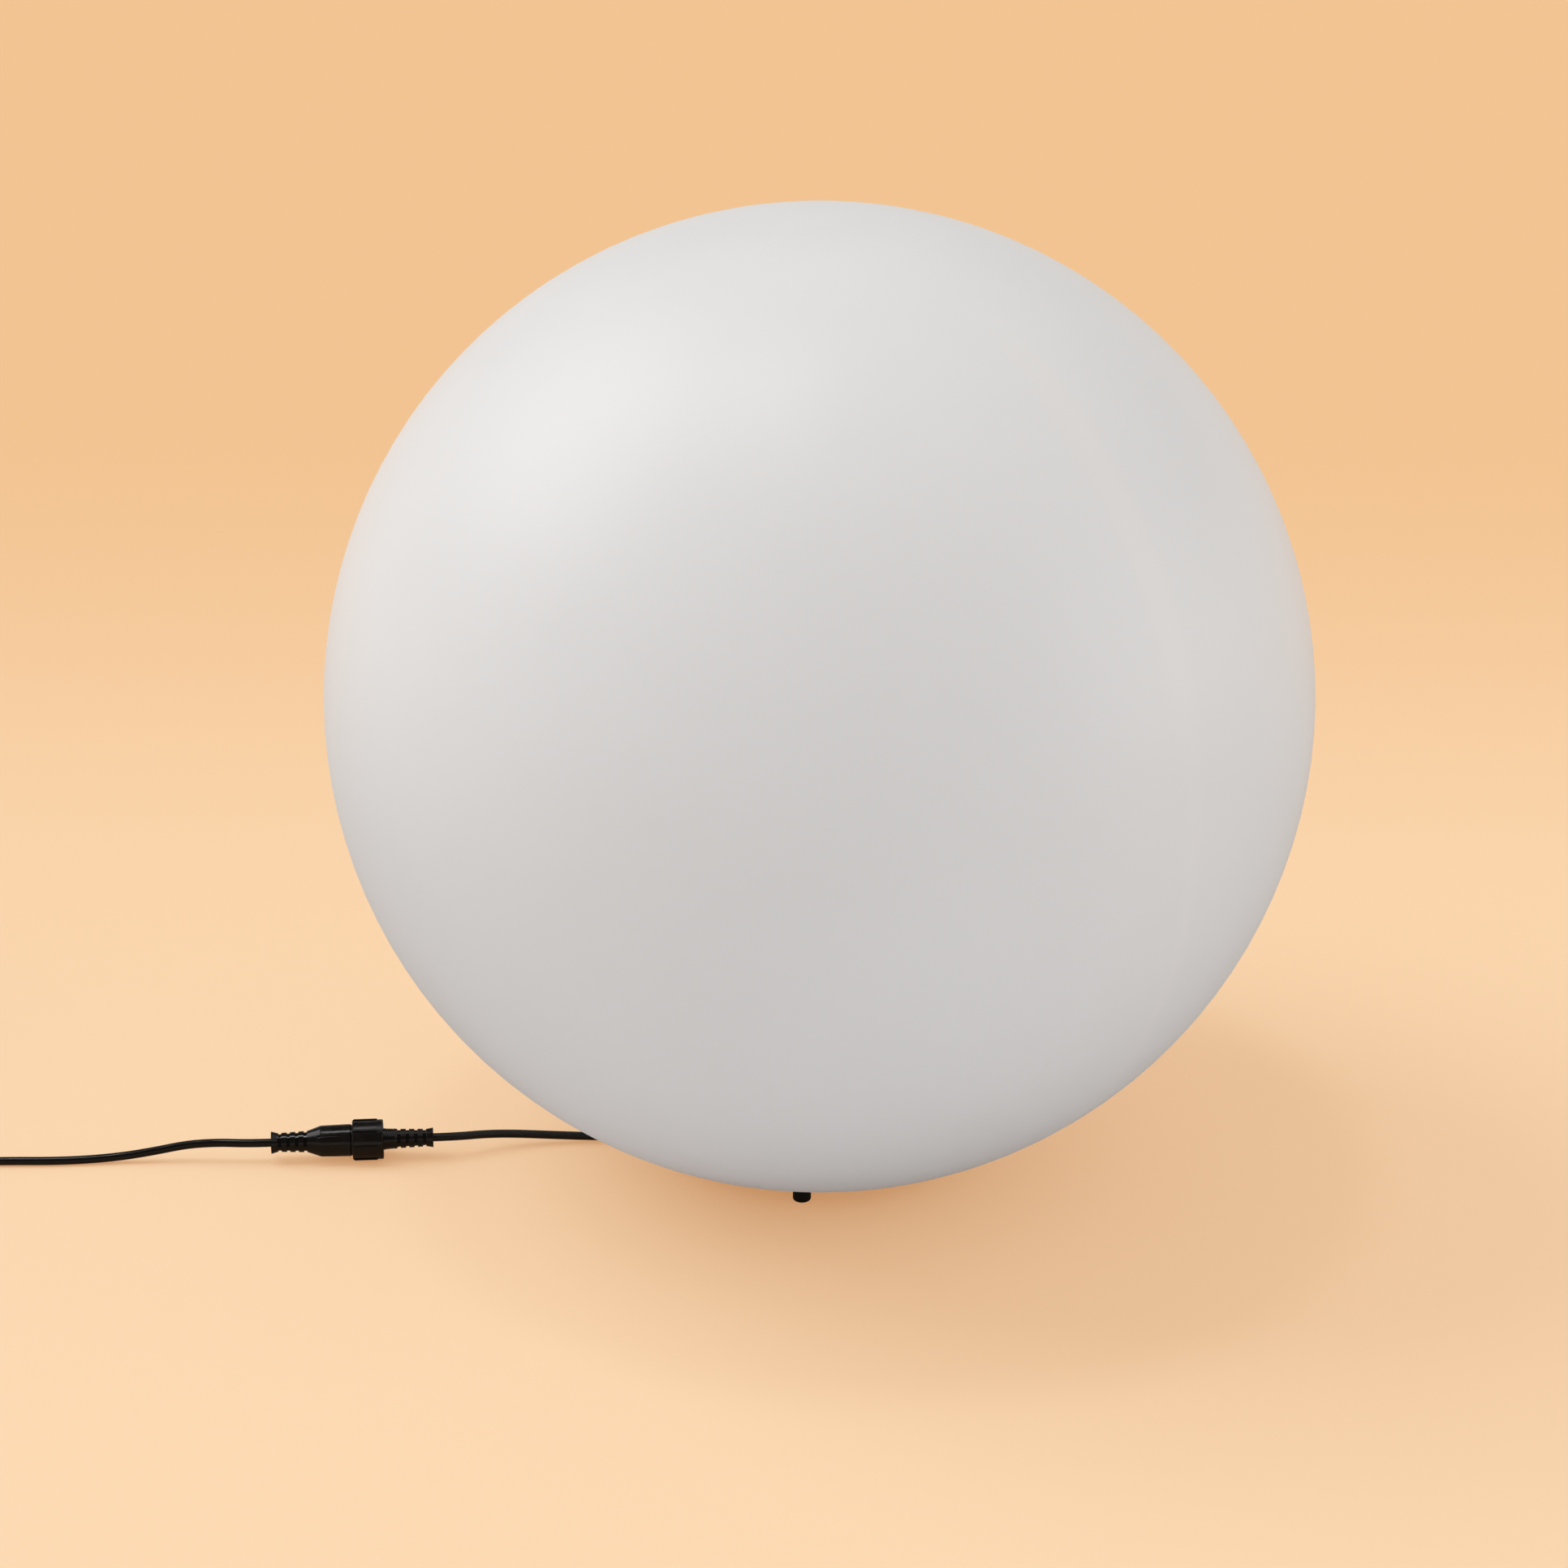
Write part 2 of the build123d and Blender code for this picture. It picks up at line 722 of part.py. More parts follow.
half_tongue = tongue_length / 2
with BuildPart() as holder_tongue:
    with BuildSketch(Plane.XZ):
        with BuildLine():
            Polyline(
                (-half_tongue, insert_top),
                (-half_tongue * 0.3, insert_top),
                (half_tongue * 0.3, insert_top + tongue_rise),
                (half_tongue, insert_top + tongue_rise),
                (half_tongue, insert_top + tongue_rise + tongue_thickness),
                (half_tongue * 0.2, insert_top + tongue_rise + tongue_thickness),
                (-half_tongue * 0.4, insert_top + tongue_thickness),
                (-half_tongue, insert_top + tongue_thickness),
                close=True,
            )
        make_face()
    extrude(amount=tongue_width / 2, both=True)
holder_tongue.part.label = "holder_tongue"

# ---------------------------------------------------------------- lamp
lamp_bottom = insert_top + tongue_rise + tongue_thickness + tongue_gap
insulator_bottom = lamp_bottom + contact_height
cap_bottom = insulator_bottom + insulator_height
cap_top = cap_bottom + cap_length
cap_radius = cap_diameter / 2
lamp_rim = cap_top + lamp_body_length
rim_radius = lamp_rim_diameter / 2
rim_inner = rim_radius - lamp_rim_wall
board_seat = lamp_rim - board_drop

with BuildPart() as lamp_contact:
    with BuildSketch(Plane.XY.offset(lamp_bottom)):
        Circle(contact_diameter / 2)
    extrude(amount=contact_height)
    fillet(lamp_contact.edges().group_by(Axis.Z)[0], contact_height / 2)
lamp_contact.part.label = "lamp_contact"

lamp_insulator = upright(
    (0, insulator_bottom),
    (contact_diameter / 2 + 1.5, insulator_bottom),
    (insulator_diameter / 2, cap_bottom),
    (0, cap_bottom),
)
lamp_insulator.part.label = "lamp_insulator"

lamp_cap = upright(
    (cap_radius - cap_chamfer - 3, cap_bottom),
    (cap_radius - cap_chamfer, cap_bottom),
    (cap_radius, cap_bottom + cap_chamfer),
    (cap_radius, cap_top),
    (cap_radius - cap_wall, cap_top),
    (cap_radius - cap_wall, cap_bottom + cap_chamfer),
    (cap_radius - cap_chamfer - cap_wall / 2, cap_bottom + cap_wall),
    (cap_radius - cap_chamfer - 3, cap_bottom + cap_wall),
)
lamp_cap.part.label = "lamp_cap"

with BuildPart() as lamp_body:
    with BuildSketch(Plane.XZ):
        with BuildLine():
            neck_radius = lamp_neck_diameter / 2
            spigot_side = cap_radius - cap_wall - lamp_spigot_gap
            neck_top = cap_top + lamp_neck_length
            flare = lamp_rim - neck_top
            Polyline(
                (neck_radius, neck_top),
                (neck_radius, cap_top),
                (spigot_side, cap_top),
                (spigot_side, cap_top - lamp_spigot),
                (0, cap_top - lamp_spigot),
                (0, board_seat),
                (rim_inner, board_seat),
                (rim_inner, lamp_rim),
                (rim_radius, lamp_rim),
            )
            Bezier(
                (rim_radius, lamp_rim),
                (rim_radius - 2.0, lamp_rim - flare * 0.3),
                (neck_radius, neck_top + flare * 0.45),
                (neck_radius, neck_top),
            )
        make_face()
    revolve(axis=Axis.Z)
lamp_body.part.label = "lamp_body"

dome_radius = lamp_diameter / 2
dome_centre = lamp_rim + sqrt(dome_radius**2 - rim_radius**2)
skirt_radius = rim_inner - dome_gap
dome_inner = dome_radius - dome_wall
rim_angle = degrees(asin((dome_centre - lamp_rim) / dome_radius))
skirt_inner = skirt_radius - dome_wall
inside_angle = degrees(asin((dome_centre - lamp_rim - dome_wall) / dome_inner))

with BuildPart() as lamp_dome:
    with BuildSketch(Plane.XZ):
        with BuildLine():
            outside = CenterArc((0, dome_centre), dome_radius, 90, -90 - rim_angle)
            inside = CenterArc((0, dome_centre), dome_inner, 90, -90 - inside_angle)
            Line(outside @ 0, inside @ 0)
            Polyline(
                outside @ 1,
                (skirt_radius, lamp_rim),
                (skirt_radius, lamp_rim - dome_skirt),
                (skirt_inner, lamp_rim - dome_skirt),
                (skirt_inner, lamp_rim),
                inside @ 1,
            )
        make_face()
    revolve(axis=Axis.Z)
lamp_dome.part.label = "lamp_dome"

board_radius = skirt_inner - board_gap
with BuildPart() as led_board:
    with BuildSketch(Plane.XY.offset(board_seat)):
        Circle(board_radius)
    extrude(amount=board_thickness)
led_board.part.label = "led_board"

with BuildPart() as led_chips:
    with BuildSketch(Plane.XY.offset(board_seat + board_thickness)):
        with PolarLocations(chip_ring / 2, chip_count):
            Rectangle(chip_width, chip_length)
    extrude(amount=chip_height)
led_chips.part.label = "led_chips"

# ---------------------------------------------------------------- coupling on the lead
nut_end = coupling_length - plug_tail_start - plug_tail_length
nut_start = nut_end - nut_length
wall_face = nut_end - nut_end_wall
collar_start = nut_end - nut_collar_length
socket_shoulder = nut_start - shoulder_gap
flange_face = wall_face - nut_gap - plug_flange_thickness
spigot_tip = flange_face - plug_spigot_length
nose_end = flange_face - nose_gap
cavity_floor = spigot_tip - cavity_gap
nose_radius = socket_nose_diameter / 2
flange_side = plug_flange_diameter / 2
spigot_side = cavity_diameter / 2 - plug_spigot_gap
window_up = coupling_side * cos(radians(window_lift)) + Vector(0, 0, sin(radians(window_lift)))


def relief_outline(end, neck, root, length):
    """(distance from the lead's end, radius) points of a notched, tapering strain relief."""
    slope = (root - neck) / 2 / (length - relief_flare)
    points = [(0, 0), (0, end / 2), (relief_flare, neck / 2)]
    for n in range(relief_notches):
        middle = relief_first + n * relief_pitch
        for place, depth in [
            (middle - notch_width / 2, 0),
            (middle - notch_width / 2, notch_depth),
            (middle + notch_width / 2, notch_depth),
            (middle + notch_width / 2, 0),
        ]:
            points.append((place, neck / 2 + (place - relief_flare) * slope - depth))
    return points


def cut_windows(from_end):
    """The openings through a strain relief's front and back, as a solid to cut away."""
    with BuildPart() as windows:
        for n in range(relief_notches):
            along = from_end(relief_first + n * relief_pitch)
            middle = coupling_plane.origin + coupling_along * along
            for facing in (1, -1):
                wall = Plane(
                    origin=middle + window_up * (facing * window_floor / 2),
                    x_dir=coupling_along,
                    z_dir=window_up * facing,
                )
                with BuildSketch(wall):
                    Rectangle(notch_width, window_width)
                extrude(amount=window_floor)
    return windows.part


def paired(along, radius, length):
    """Two round bars side by side along the coupling's axis, as a solid."""
    with BuildPart() as bars:
        with BuildSketch(across(coupling_plane, along)):
            with Locations((pin_pitch / 2, 0), (-pin_pitch / 2, 0)):
                Circle(radius)
        extrude(amount=length)
    return bars.part


contact_outer = pin_diameter / 2 + contact_gap + contact_wall
contact_front = cavity_floor - contact_recess

with BuildPart() as socket_overmould:
    add(
        turned(
            coupling_plane,
            *relief_outline(
                socket_relief_end, socket_relief_neck, socket_relief_root, cone_start
            ),
            (cone_start, socket_relief_root / 2),
            (socket_body_start - 0.7, socket_body_diameter / 2 - 0.1),
            (socket_body_start, socket_body_diameter / 2),
            (socket_shoulder - 0.4, socket_front_diameter / 2),
            (socket_shoulder, socket_front_diameter / 2 - 0.4),
            (socket_shoulder, nose_radius),
            (nose_end - 0.5, nose_radius),
            (nose_end, nose_radius - 0.5),
            (nose_end, cavity_diameter / 2),
            (cavity_floor, cavity_diameter / 2),
            (cavity_floor, 0),
        ).part
    )
    add(cut_windows(lambda u: u), mode=Mode.SUBTRACT)
    add(
        paired(contact_front - contact_length - contact_recess, contact_outer + pin_gap, contact_length * 2),
        mode=Mode.SUBTRACT,
    )
    # flutes, open towards the cone
    for n in range(flute_count):
        lift = radians(45 + 360 / flute_count * n)
        up = coupling_side * cos(lift) + Vector(0, 0, sin(lift))
        middle = socket_shoulder - flute_end - flute_length / 2
        flute_floor = Plane(
            origin=coupling_plane.origin
            + coupling_along * middle
            + up * (socket_body_diameter / 2 - flute_depth),
            x_dir=coupling_along,
            z_dir=up,
        )
        with BuildSketch(flute_floor):
            SlotOverall(flute_length, flute_width)
        extrude(amount=socket_body_diameter / 4, mode=Mode.SUBTRACT)
socket_overmould.part.label = "socket_overmould"

with BuildPart() as socket_contacts:
    add(paired(contact_front - contact_length, contact_outer, contact_length))
    add(
        paired(contact_front - contact_length, pin_diameter / 2 + contact_gap, contact_length),
        mode=Mode.SUBTRACT,
    )
socket_contacts.part.label = "socket_contacts"

plug_back = coupling_length - plug_tail_start
ring_middle = flange_face - ring_place
ring_seat = ring_section / 2 + thread_gap
ring_radius = cavity_diameter / 2 - thread_gap - ring_section / 2
ring_floor = ring_radius - ring_section / 2 - pin_gap


def plug_outline():
    """The plug's outline: spigot, flange, grooved tail and strain relief."""
    points = [
        (spigot_tip, 0),
        (spigot_tip, spigot_side - 0.4),
        (spigot_tip + 0.4, spigot_side),
        (ring_middle - ring_seat, spigot_side),
        (ring_middle - ring_seat, ring_floor),
        (ring_middle + ring_seat, ring_floor),
        (ring_middle + ring_seat, spigot_side),
        (flange_face, spigot_side),
        (flange_face, flange_side),
        (flange_face + plug_flange_thickness, flange_side),
        (flange_face + plug_flange_thickness, plug_tail_diameter / 2),
    ]
    first = nut_end + 1.2
    taper = (plug_tail_diameter - plug_relief_root - 0.3) / 2 / (plug_back - nut_end)
    for n in range(tail_groove_count):
        start = first + n * tail_groove_pitch
        for place, depth in [
            (start, 0),
            (start, tail_groove_depth),
            (start + tail_groove_width, tail_groove_depth),
            (start + tail_groove_width, 0),
        ]:
            points.append((place, plug_tail_diameter / 2 - (place - nut_end) * taper - depth))
    points.append((plug_back, plug_relief_root / 2 + 0.15))
    relief = relief_outline(
        plug_relief_end, plug_relief_neck, plug_relief_root, plug_tail_start - 0.7
    )
    points.append((coupling_length - plug_tail_start + 0.7, plug_relief_root / 2))
    points += [(coupling_length - u, r) for u, r in reversed(relief)]
    return points


with BuildPart() as plug_overmould:
    add(turned(coupling_plane, *plug_outline()).part)
    add(cut_windows(lambda u: coupling_length - u), mode=Mode.SUBTRACT)
    add(paired(spigot_tip - 1, pin_diameter / 2 + pin_gap, pin_root + 1), mode=Mode.SUBTRACT)
plug_overmould.part.label = "plug_overmould"

with BuildPart() as plug_pins:
    add(paired(spigot_tip - pin_reach, pin_diameter / 2, pin_reach + pin_root))
    fillet(
        plug_pins.edges().filter_by(GeomType.CIRCLE).group_by(Axis(coupling_plane.origin, coupling_along))[0],
        pin_diameter * 0.3,
    )
plug_pins.part.label = "plug_pins"

with BuildPart() as sealing_ring:
    with BuildSketch(coupling_plane):
        with Locations((ring_middle, ring_radius)):
            Circle(ring_section / 2)
    revolve(axis=Axis(coupling_plane.origin, coupling_along))
sealing_ring.part.label = "sealing_ring"

nut_bore = nose_radius + nut_gap
valley_radius = nut_valley_diameter / 2
rib_radius = nut_rib_diameter / 2
with BuildPart() as coupling_nut:
    add(
        turned(
            coupling_plane,
            (nut_start, nut_bore),
            (nut_start, valley_radius - nut_chamfer / 2),
            (nut_start + nut_chamfer / 2, valley_radius),
            (collar_start, valley_radius),
            (collar_start, nut_collar_diameter / 2),
            (nut_end - nut_chamfer / 2, nut_collar_diameter / 2),
            (nut_end, nut_collar_diameter / 2 - nut_chamfer / 2),
            (nut_end, plug_tail_diameter / 2 + nut_gap),
            (wall_face, plug_tail_diameter / 2 + nut_gap),
            (wall_face, nut_bore),
        ).part
    )
    for n in range(nut_rib_count):
        lift = radians(360 / nut_rib_count * n + nut_rib_arc / 2)
        up = coupling_side * cos(lift) + Vector(0, 0, sin(lift))
        rib_plane = Plane(
            origin=coupling_plane.origin, x_dir=coupling_along, z_dir=coupling_along.cross(up)
        )
        with BuildSketch(rib_plane):
            with BuildLine():
                Polyline(
                    (nut_start, valley_radius - 0.5),
                    (nut_start, rib_radius - nut_chamfer),
                    (nut_start + nut_chamfer, rib_radius),
                    (collar_start, rib_radius),
                    (collar_start, valley_radius - 0.5),
                    close=True,
                )
            make_face()
        revolve(axis=Axis(coupling_plane.origin, coupling_along), revolution_arc=nut_rib_arc)
coupling_nut.part.label = "coupling_nut"

# ---------------------------------------------------------------- free leads
gland_exit = gland_seat + gland_out * nut_finish
plug_exit = coupling_plane.origin + coupling_along * coupling_length
fixture_route = [
    tuple(gland_exit),
    (-44.23, -3.09, 2.1),
    (-60.5, -4.4, 1.8),
    (-77.5, -5.4, 1.9),
    (-94.5, -6.0, 2.4),
    (-111.5, -6.9, 3.4),
    (-127.0, -8.8, 5.0),
    (-139.5, -12.4, 6.7),
    (-151.2, -17.97, 8.3),
    tuple(plug_exit),
]
fixture_lead = tube(fixture_route, lead_diameter, corner_radii(fixture_route), "fixture_lead")
fixture_lead.part.label = "fixture_lead"

coil_radius = coil_mean_diameter / 2
coil_inner = coil_radius - coil_wide * lead_diameter / 2
coil_outer = coil_radius + coil_wide * lead_diameter / 2
coil_height = coil_layers * lead_diameter
outer_turn = coil_outer - lead_radius
entry_y = coil_centre[1] - outer_turn
supply_route = [
    (*coupling_end, coupling_height),
    (-238.4, -25.04, 8.3),
    (-250.0, -24.8, 8.6),
    (-263.5, -24.2, 7.4),
    (-277.0, -25.1, 4.7),
    (-291.0, -26.2, 2.6),
    (-306.0, -28.0, 1.9),
    (-321.0, -29.1, 1.8),
    (-336.0, -29.3, 1.9),
    (-351.0, -29.7, 1.8),
    (-366.0, -29.6, 1.9),
    (-381.0, -30.3, 1.8),
    (-396.0, -29.8, 1.9),
    (coil_centre[0] + 14.0, entry_y, 1.8),
]
supply_lead = tube(supply_route, lead_diameter, corner_radii(supply_route), "supply_lead")
supply_lead.part.label = "supply_lead"

with BuildPart() as supply_coil:
    with BuildSketch():
        with Locations(coil_centre):
            Circle(coil_outer)
            Circle(coil_inner, mode=Mode.SUBTRACT)
    extrude(amount=coil_height)
    fillet(supply_coil.edges(), lead_radius)
supply_coil.part.label = "supply_coil"

# ---------------------------------------------------------------- power supply
supply_x = coil_centre[0] - outer_turn
boot_tip_y = coil_centre[1] + 54.0
case_near_y = boot_tip_y + relief_boot_length
case_middle = (supply_x, case_near_y + supply_length / 2)
front_depth = supply_depth - supply_back_depth
boot_height = front_depth / 2
tail_route = [
    (supply_x, coil_centre[1] + 13.4, coil_height - lead_radius),
    (supply_x, coil_centre[1] + 24.0, coil_height - lead_radius - 0.4),
    (supply_x, coil_centre[1] + 40.0, boot_height),
    (supply_x, boot_tip_y, boot_height),
]
supply_tail = tube(tail_route, lead_diameter, corner_radii(tail_route), "supply_tail")
supply_tail.part.label = "supply_tail"

with BuildPart() as supply_front:
    with BuildSketch():
        with Locations(case_middle):
            RectangleRounded(supply_width, supply_length, supply_corner)
    extrude(amount=front_depth)
    fillet(supply_front.edges().group_by(Axis.Z)[0], supply_edge)
supply_front.part.label = "supply_front"

mains_pin_y = case_middle[1] + supply_length / 2 - mains_pin_inset
mains_pin_spots = [
    (supply_x + mains_pin_pitch / 2, mains_pin_y),
    (supply_x - mains_pin_pitch / 2, mains_pin_y),
]
plateau_top = supply_depth + plateau_height
with BuildPart() as supply_back:
    with BuildSketch(Plane.XY.offset(front_depth)):
        with Locations(case_middle):
            RectangleRounded(supply_width, supply_length, supply_corner)
    extrude(amount=supply_back_depth)
    fillet(supply_back.edges().group_by(Axis.Z)[-1], supply_edge)
    with BuildSketch(Plane.XY.offset(supply_depth)):
        with Locations((supply_x, mains_pin_y)):
            SlotOverall(plateau_length, plateau_width)
    extrude(amount=plateau_height)
supply_back.part.label = "supply_back"

with BuildPart() as mains_pins:
    with BuildSketch(Plane.XY.offset(plateau_top)):
        with Locations(*mains_pin_spots):
            Circle(mains_pin_diameter / 2)
    extrude(amount=mains_pin_length)
    fillet(mains_pins.edges().group_by(Axis.Z)[-1], mains_pin_round)
mains_pins.part.label = "mains_pins"

boot_plane = Plane(origin=(supply_x, boot_tip_y, boot_height), x_dir=(0, 1, 0), z_dir=(0, 0, 1))
boot_points = [(0, 0), (0, relief_boot_tip / 2)]
boot_slope = (relief_boot_diameter - relief_boot_tip) / 2 / relief_boot_length
for n in range(boot_grooves):
    groove = (n + 0.8) * relief_boot_length / (boot_grooves + 1)
    for place, depth in [
        (groove, 0),
        (groove, boot_groove_depth),
        (groove + boot_groove_width, boot_groove_depth),
        (groove + boot_groove_width, 0),
    ]:
        boot_points.append((place, relief_boot_tip / 2 + place * boot_slope - depth))
boot_points += [(relief_boot_length, relief_boot_diameter / 2), (relief_boot_length, 0)]
supply_boot = turned(boot_plane, *boot_points)
supply_boot.part.label = "supply_boot"

# ---------------------------------------------------------------- one STEP per piece
pieces = [
    globe_shell,
    base_tray,
    seal_ring,
    rubber_feet,
    gland_gasket,
    gland_body,
    gland_seal,
    gland_nut,
    gland_locknut,
    inner_lead,
    wire_brown,
    wire_blue,
    holder_bridge,
    bridge_screws,
    nipple,
    nipple_nut,
    holder_cap,
    holder_body,
    holder_insert,
    holder_terminals,
    holder_shell,
    holder_tongue,
    lamp_contact,
    lamp_insulator,
    lamp_cap,
    lamp_body,
    lamp_dome,
    led_board,
    led_chips,
    socket_overmould,
    socket_contacts,
    plug_overmould,
    plug_pins,
    sealing_ring,
    coupling_nut,
    fixture_lead,
    supply_lead,
    supply_coil,
    supply_tail,
    supply_front,
    supply_back,
    mains_pins,
    supply_boot,
]
os.makedirs("parts", exist_ok=True)
for piece in pieces:
    export_step(piece.part, f"parts/{piece.part.label}.step")
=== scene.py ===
"""Garden globe light: finishes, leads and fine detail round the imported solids.

Metres, Z up, the origin on the floor under the globe's centre, -Y towards the camera and -X along
the lead.
"""

import json
import logging
import math
from dataclasses import dataclass, field
from enum import Enum
from functools import cache
from typing import Sequence

import bpy
import numpy as np
from mathutils import Matrix, Vector

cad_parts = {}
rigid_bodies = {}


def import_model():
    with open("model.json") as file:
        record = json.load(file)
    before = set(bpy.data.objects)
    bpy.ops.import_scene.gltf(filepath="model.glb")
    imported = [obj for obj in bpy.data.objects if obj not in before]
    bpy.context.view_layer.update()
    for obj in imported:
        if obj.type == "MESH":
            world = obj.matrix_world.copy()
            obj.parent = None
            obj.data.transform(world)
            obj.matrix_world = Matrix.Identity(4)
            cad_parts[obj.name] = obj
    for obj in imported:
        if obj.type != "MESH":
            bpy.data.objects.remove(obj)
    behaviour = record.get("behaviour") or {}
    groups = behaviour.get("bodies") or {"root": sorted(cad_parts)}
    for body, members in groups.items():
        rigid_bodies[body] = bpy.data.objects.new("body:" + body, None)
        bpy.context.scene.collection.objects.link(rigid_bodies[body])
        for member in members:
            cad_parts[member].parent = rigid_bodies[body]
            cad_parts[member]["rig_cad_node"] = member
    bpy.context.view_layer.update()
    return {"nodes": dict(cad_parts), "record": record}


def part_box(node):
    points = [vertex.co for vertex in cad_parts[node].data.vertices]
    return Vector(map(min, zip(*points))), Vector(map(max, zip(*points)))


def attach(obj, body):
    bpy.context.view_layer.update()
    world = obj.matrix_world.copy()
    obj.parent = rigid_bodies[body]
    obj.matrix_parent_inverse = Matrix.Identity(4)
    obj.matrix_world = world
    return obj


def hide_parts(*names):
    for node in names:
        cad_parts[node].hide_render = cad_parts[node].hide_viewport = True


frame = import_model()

MM = 0.001
UP = (0.0, 0.0, 1.0)
SECTION_POINTS = 12  # round the outline of a ridge or a strap
Colour = tuple[float, float, float]
log = logging.getLogger("globe_light")


class Slot(Enum):
    """The record's material slots, by the finish that they hold."""

    GLOBE = "globe_white"
    TRAY = "tray_black"
    SEAL = "seal_rubber"
    FOOT = "foot_rubber"
    GLAND = "gland_black"
    LEAD = "lead_black"
    COUPLING = "coupling_black"
    NUT = "nut_black"
    ZINC = "zinc_steel"
    BRASS = "brass"
    NICKEL = "nickel"
    HOLDER = "holder_white"
    CERAMIC = "insert_ceramic"
    BROWN = "wire_brown"
    BLUE = "wire_blue"
    LAMP = "lamp_white"
    OPAL = "lamp_opal"
    INSULATOR = "insulator_black"
    BOARD = "board_aluminium"
    CHIP = "chip_yellow"
    SUPPLY = "supply_black"


# ---------------------------------------------------------------- meshes
def smooth_mesh(name: str, points: np.ndarray, faces: Sequence[Sequence[int]]) -> bpy.types.Object:
    """A smooth-shaded object from its points and faces.

    Args:
        name: The object's name.
        points: (n, 3) places in metres.
        faces: The numbers of each face's points, in turn round it.

    Returns:
        The linked object, at the origin.
    """
    mesh = bpy.data.meshes.new(name)
    mesh.from_pydata(points, [], faces)
    mesh.polygons.foreach_set("use_smooth", np.ones(len(faces), bool))
    mesh.update()
    made = bpy.data.objects.new(name, mesh)
    bpy.context.scene.collection.objects.link(made)
    return made


def swept(
    name: str, middles: np.ndarray, across: np.ndarray, outwards: np.ndarray, section: np.ndarray
) -> bpy.types.Object:
    """A closed outline carried along a path, with a face over each end.

    Each point is a place on the path, plus the outline's first measure along the first axis, plus
    its second measure along the second axis. The faces point outwards where the first axis, the
    second and the path are right-handed, and the outline turns from the first to the second.

    Args:
        name: The object's name.
        middles: (n, 3) places of the section's origin along the path.
        across: (n, 3) direction of the section's first axis at each place.
        outwards: (n, 3) direction of its second axis.
        section: (m, 2) outline, or (n, m, 2) where it changes along the path.

    Returns:
        The linked object, at the origin.
    """
    outline = np.broadcast_to(section, (len(middles), *section.shape[-2:]))
    points = (
        middles[:, None, :]
        + outline[..., :1] * across[:, None, :]
        + outline[..., 1:] * outwards[:, None, :]
    )
    number = np.arange(outline[..., 0].size).reshape(outline.shape[:2])
    beside = np.roll(number, -1, axis=1)
    sides = np.stack([number[:-1], beside[:-1], beside[1:], number[1:]], -1).reshape(-1, 4)
    faces = [number[0, ::-1].tolist(), *sides.tolist(), number[-1].tolist()]
    return smooth_mesh(name, points.reshape(-1, 3), faces)


def oval(half_width: float, half_height: float) -> np.ndarray:
    """Points round an ellipse: its half width by a turn's cosine, its half height by the sine."""
    turn = np.linspace(0, 2 * math.pi, SECTION_POINTS, endpoint=False)
    return np.stack([half_width * np.cos(turn), half_height * np.sin(turn)], 1)


def smooth_step(part: np.ndarray) -> np.ndarray:
    """An even rise from 0 to 1: three times the part's square, less twice its cube."""
    return part * part * (3 - 2 * part)


# ---------------------------------------------------------------- shader groups
def map_from(node: bpy.types.Node, span: Sequence[float]) -> None:
    """Sets the range of values that a Map Range node reads."""
    node.inputs["From Min"].default_value, node.inputs["From Max"].default_value = span


def rgba(colour: Colour, share: float = 1.0) -> tuple[float, float, float, float]:
    """A colour, made lighter or darker by a share, with full alpha."""
    return (colour[0] * share, colour[1] * share, colour[2] * share, 1.0)


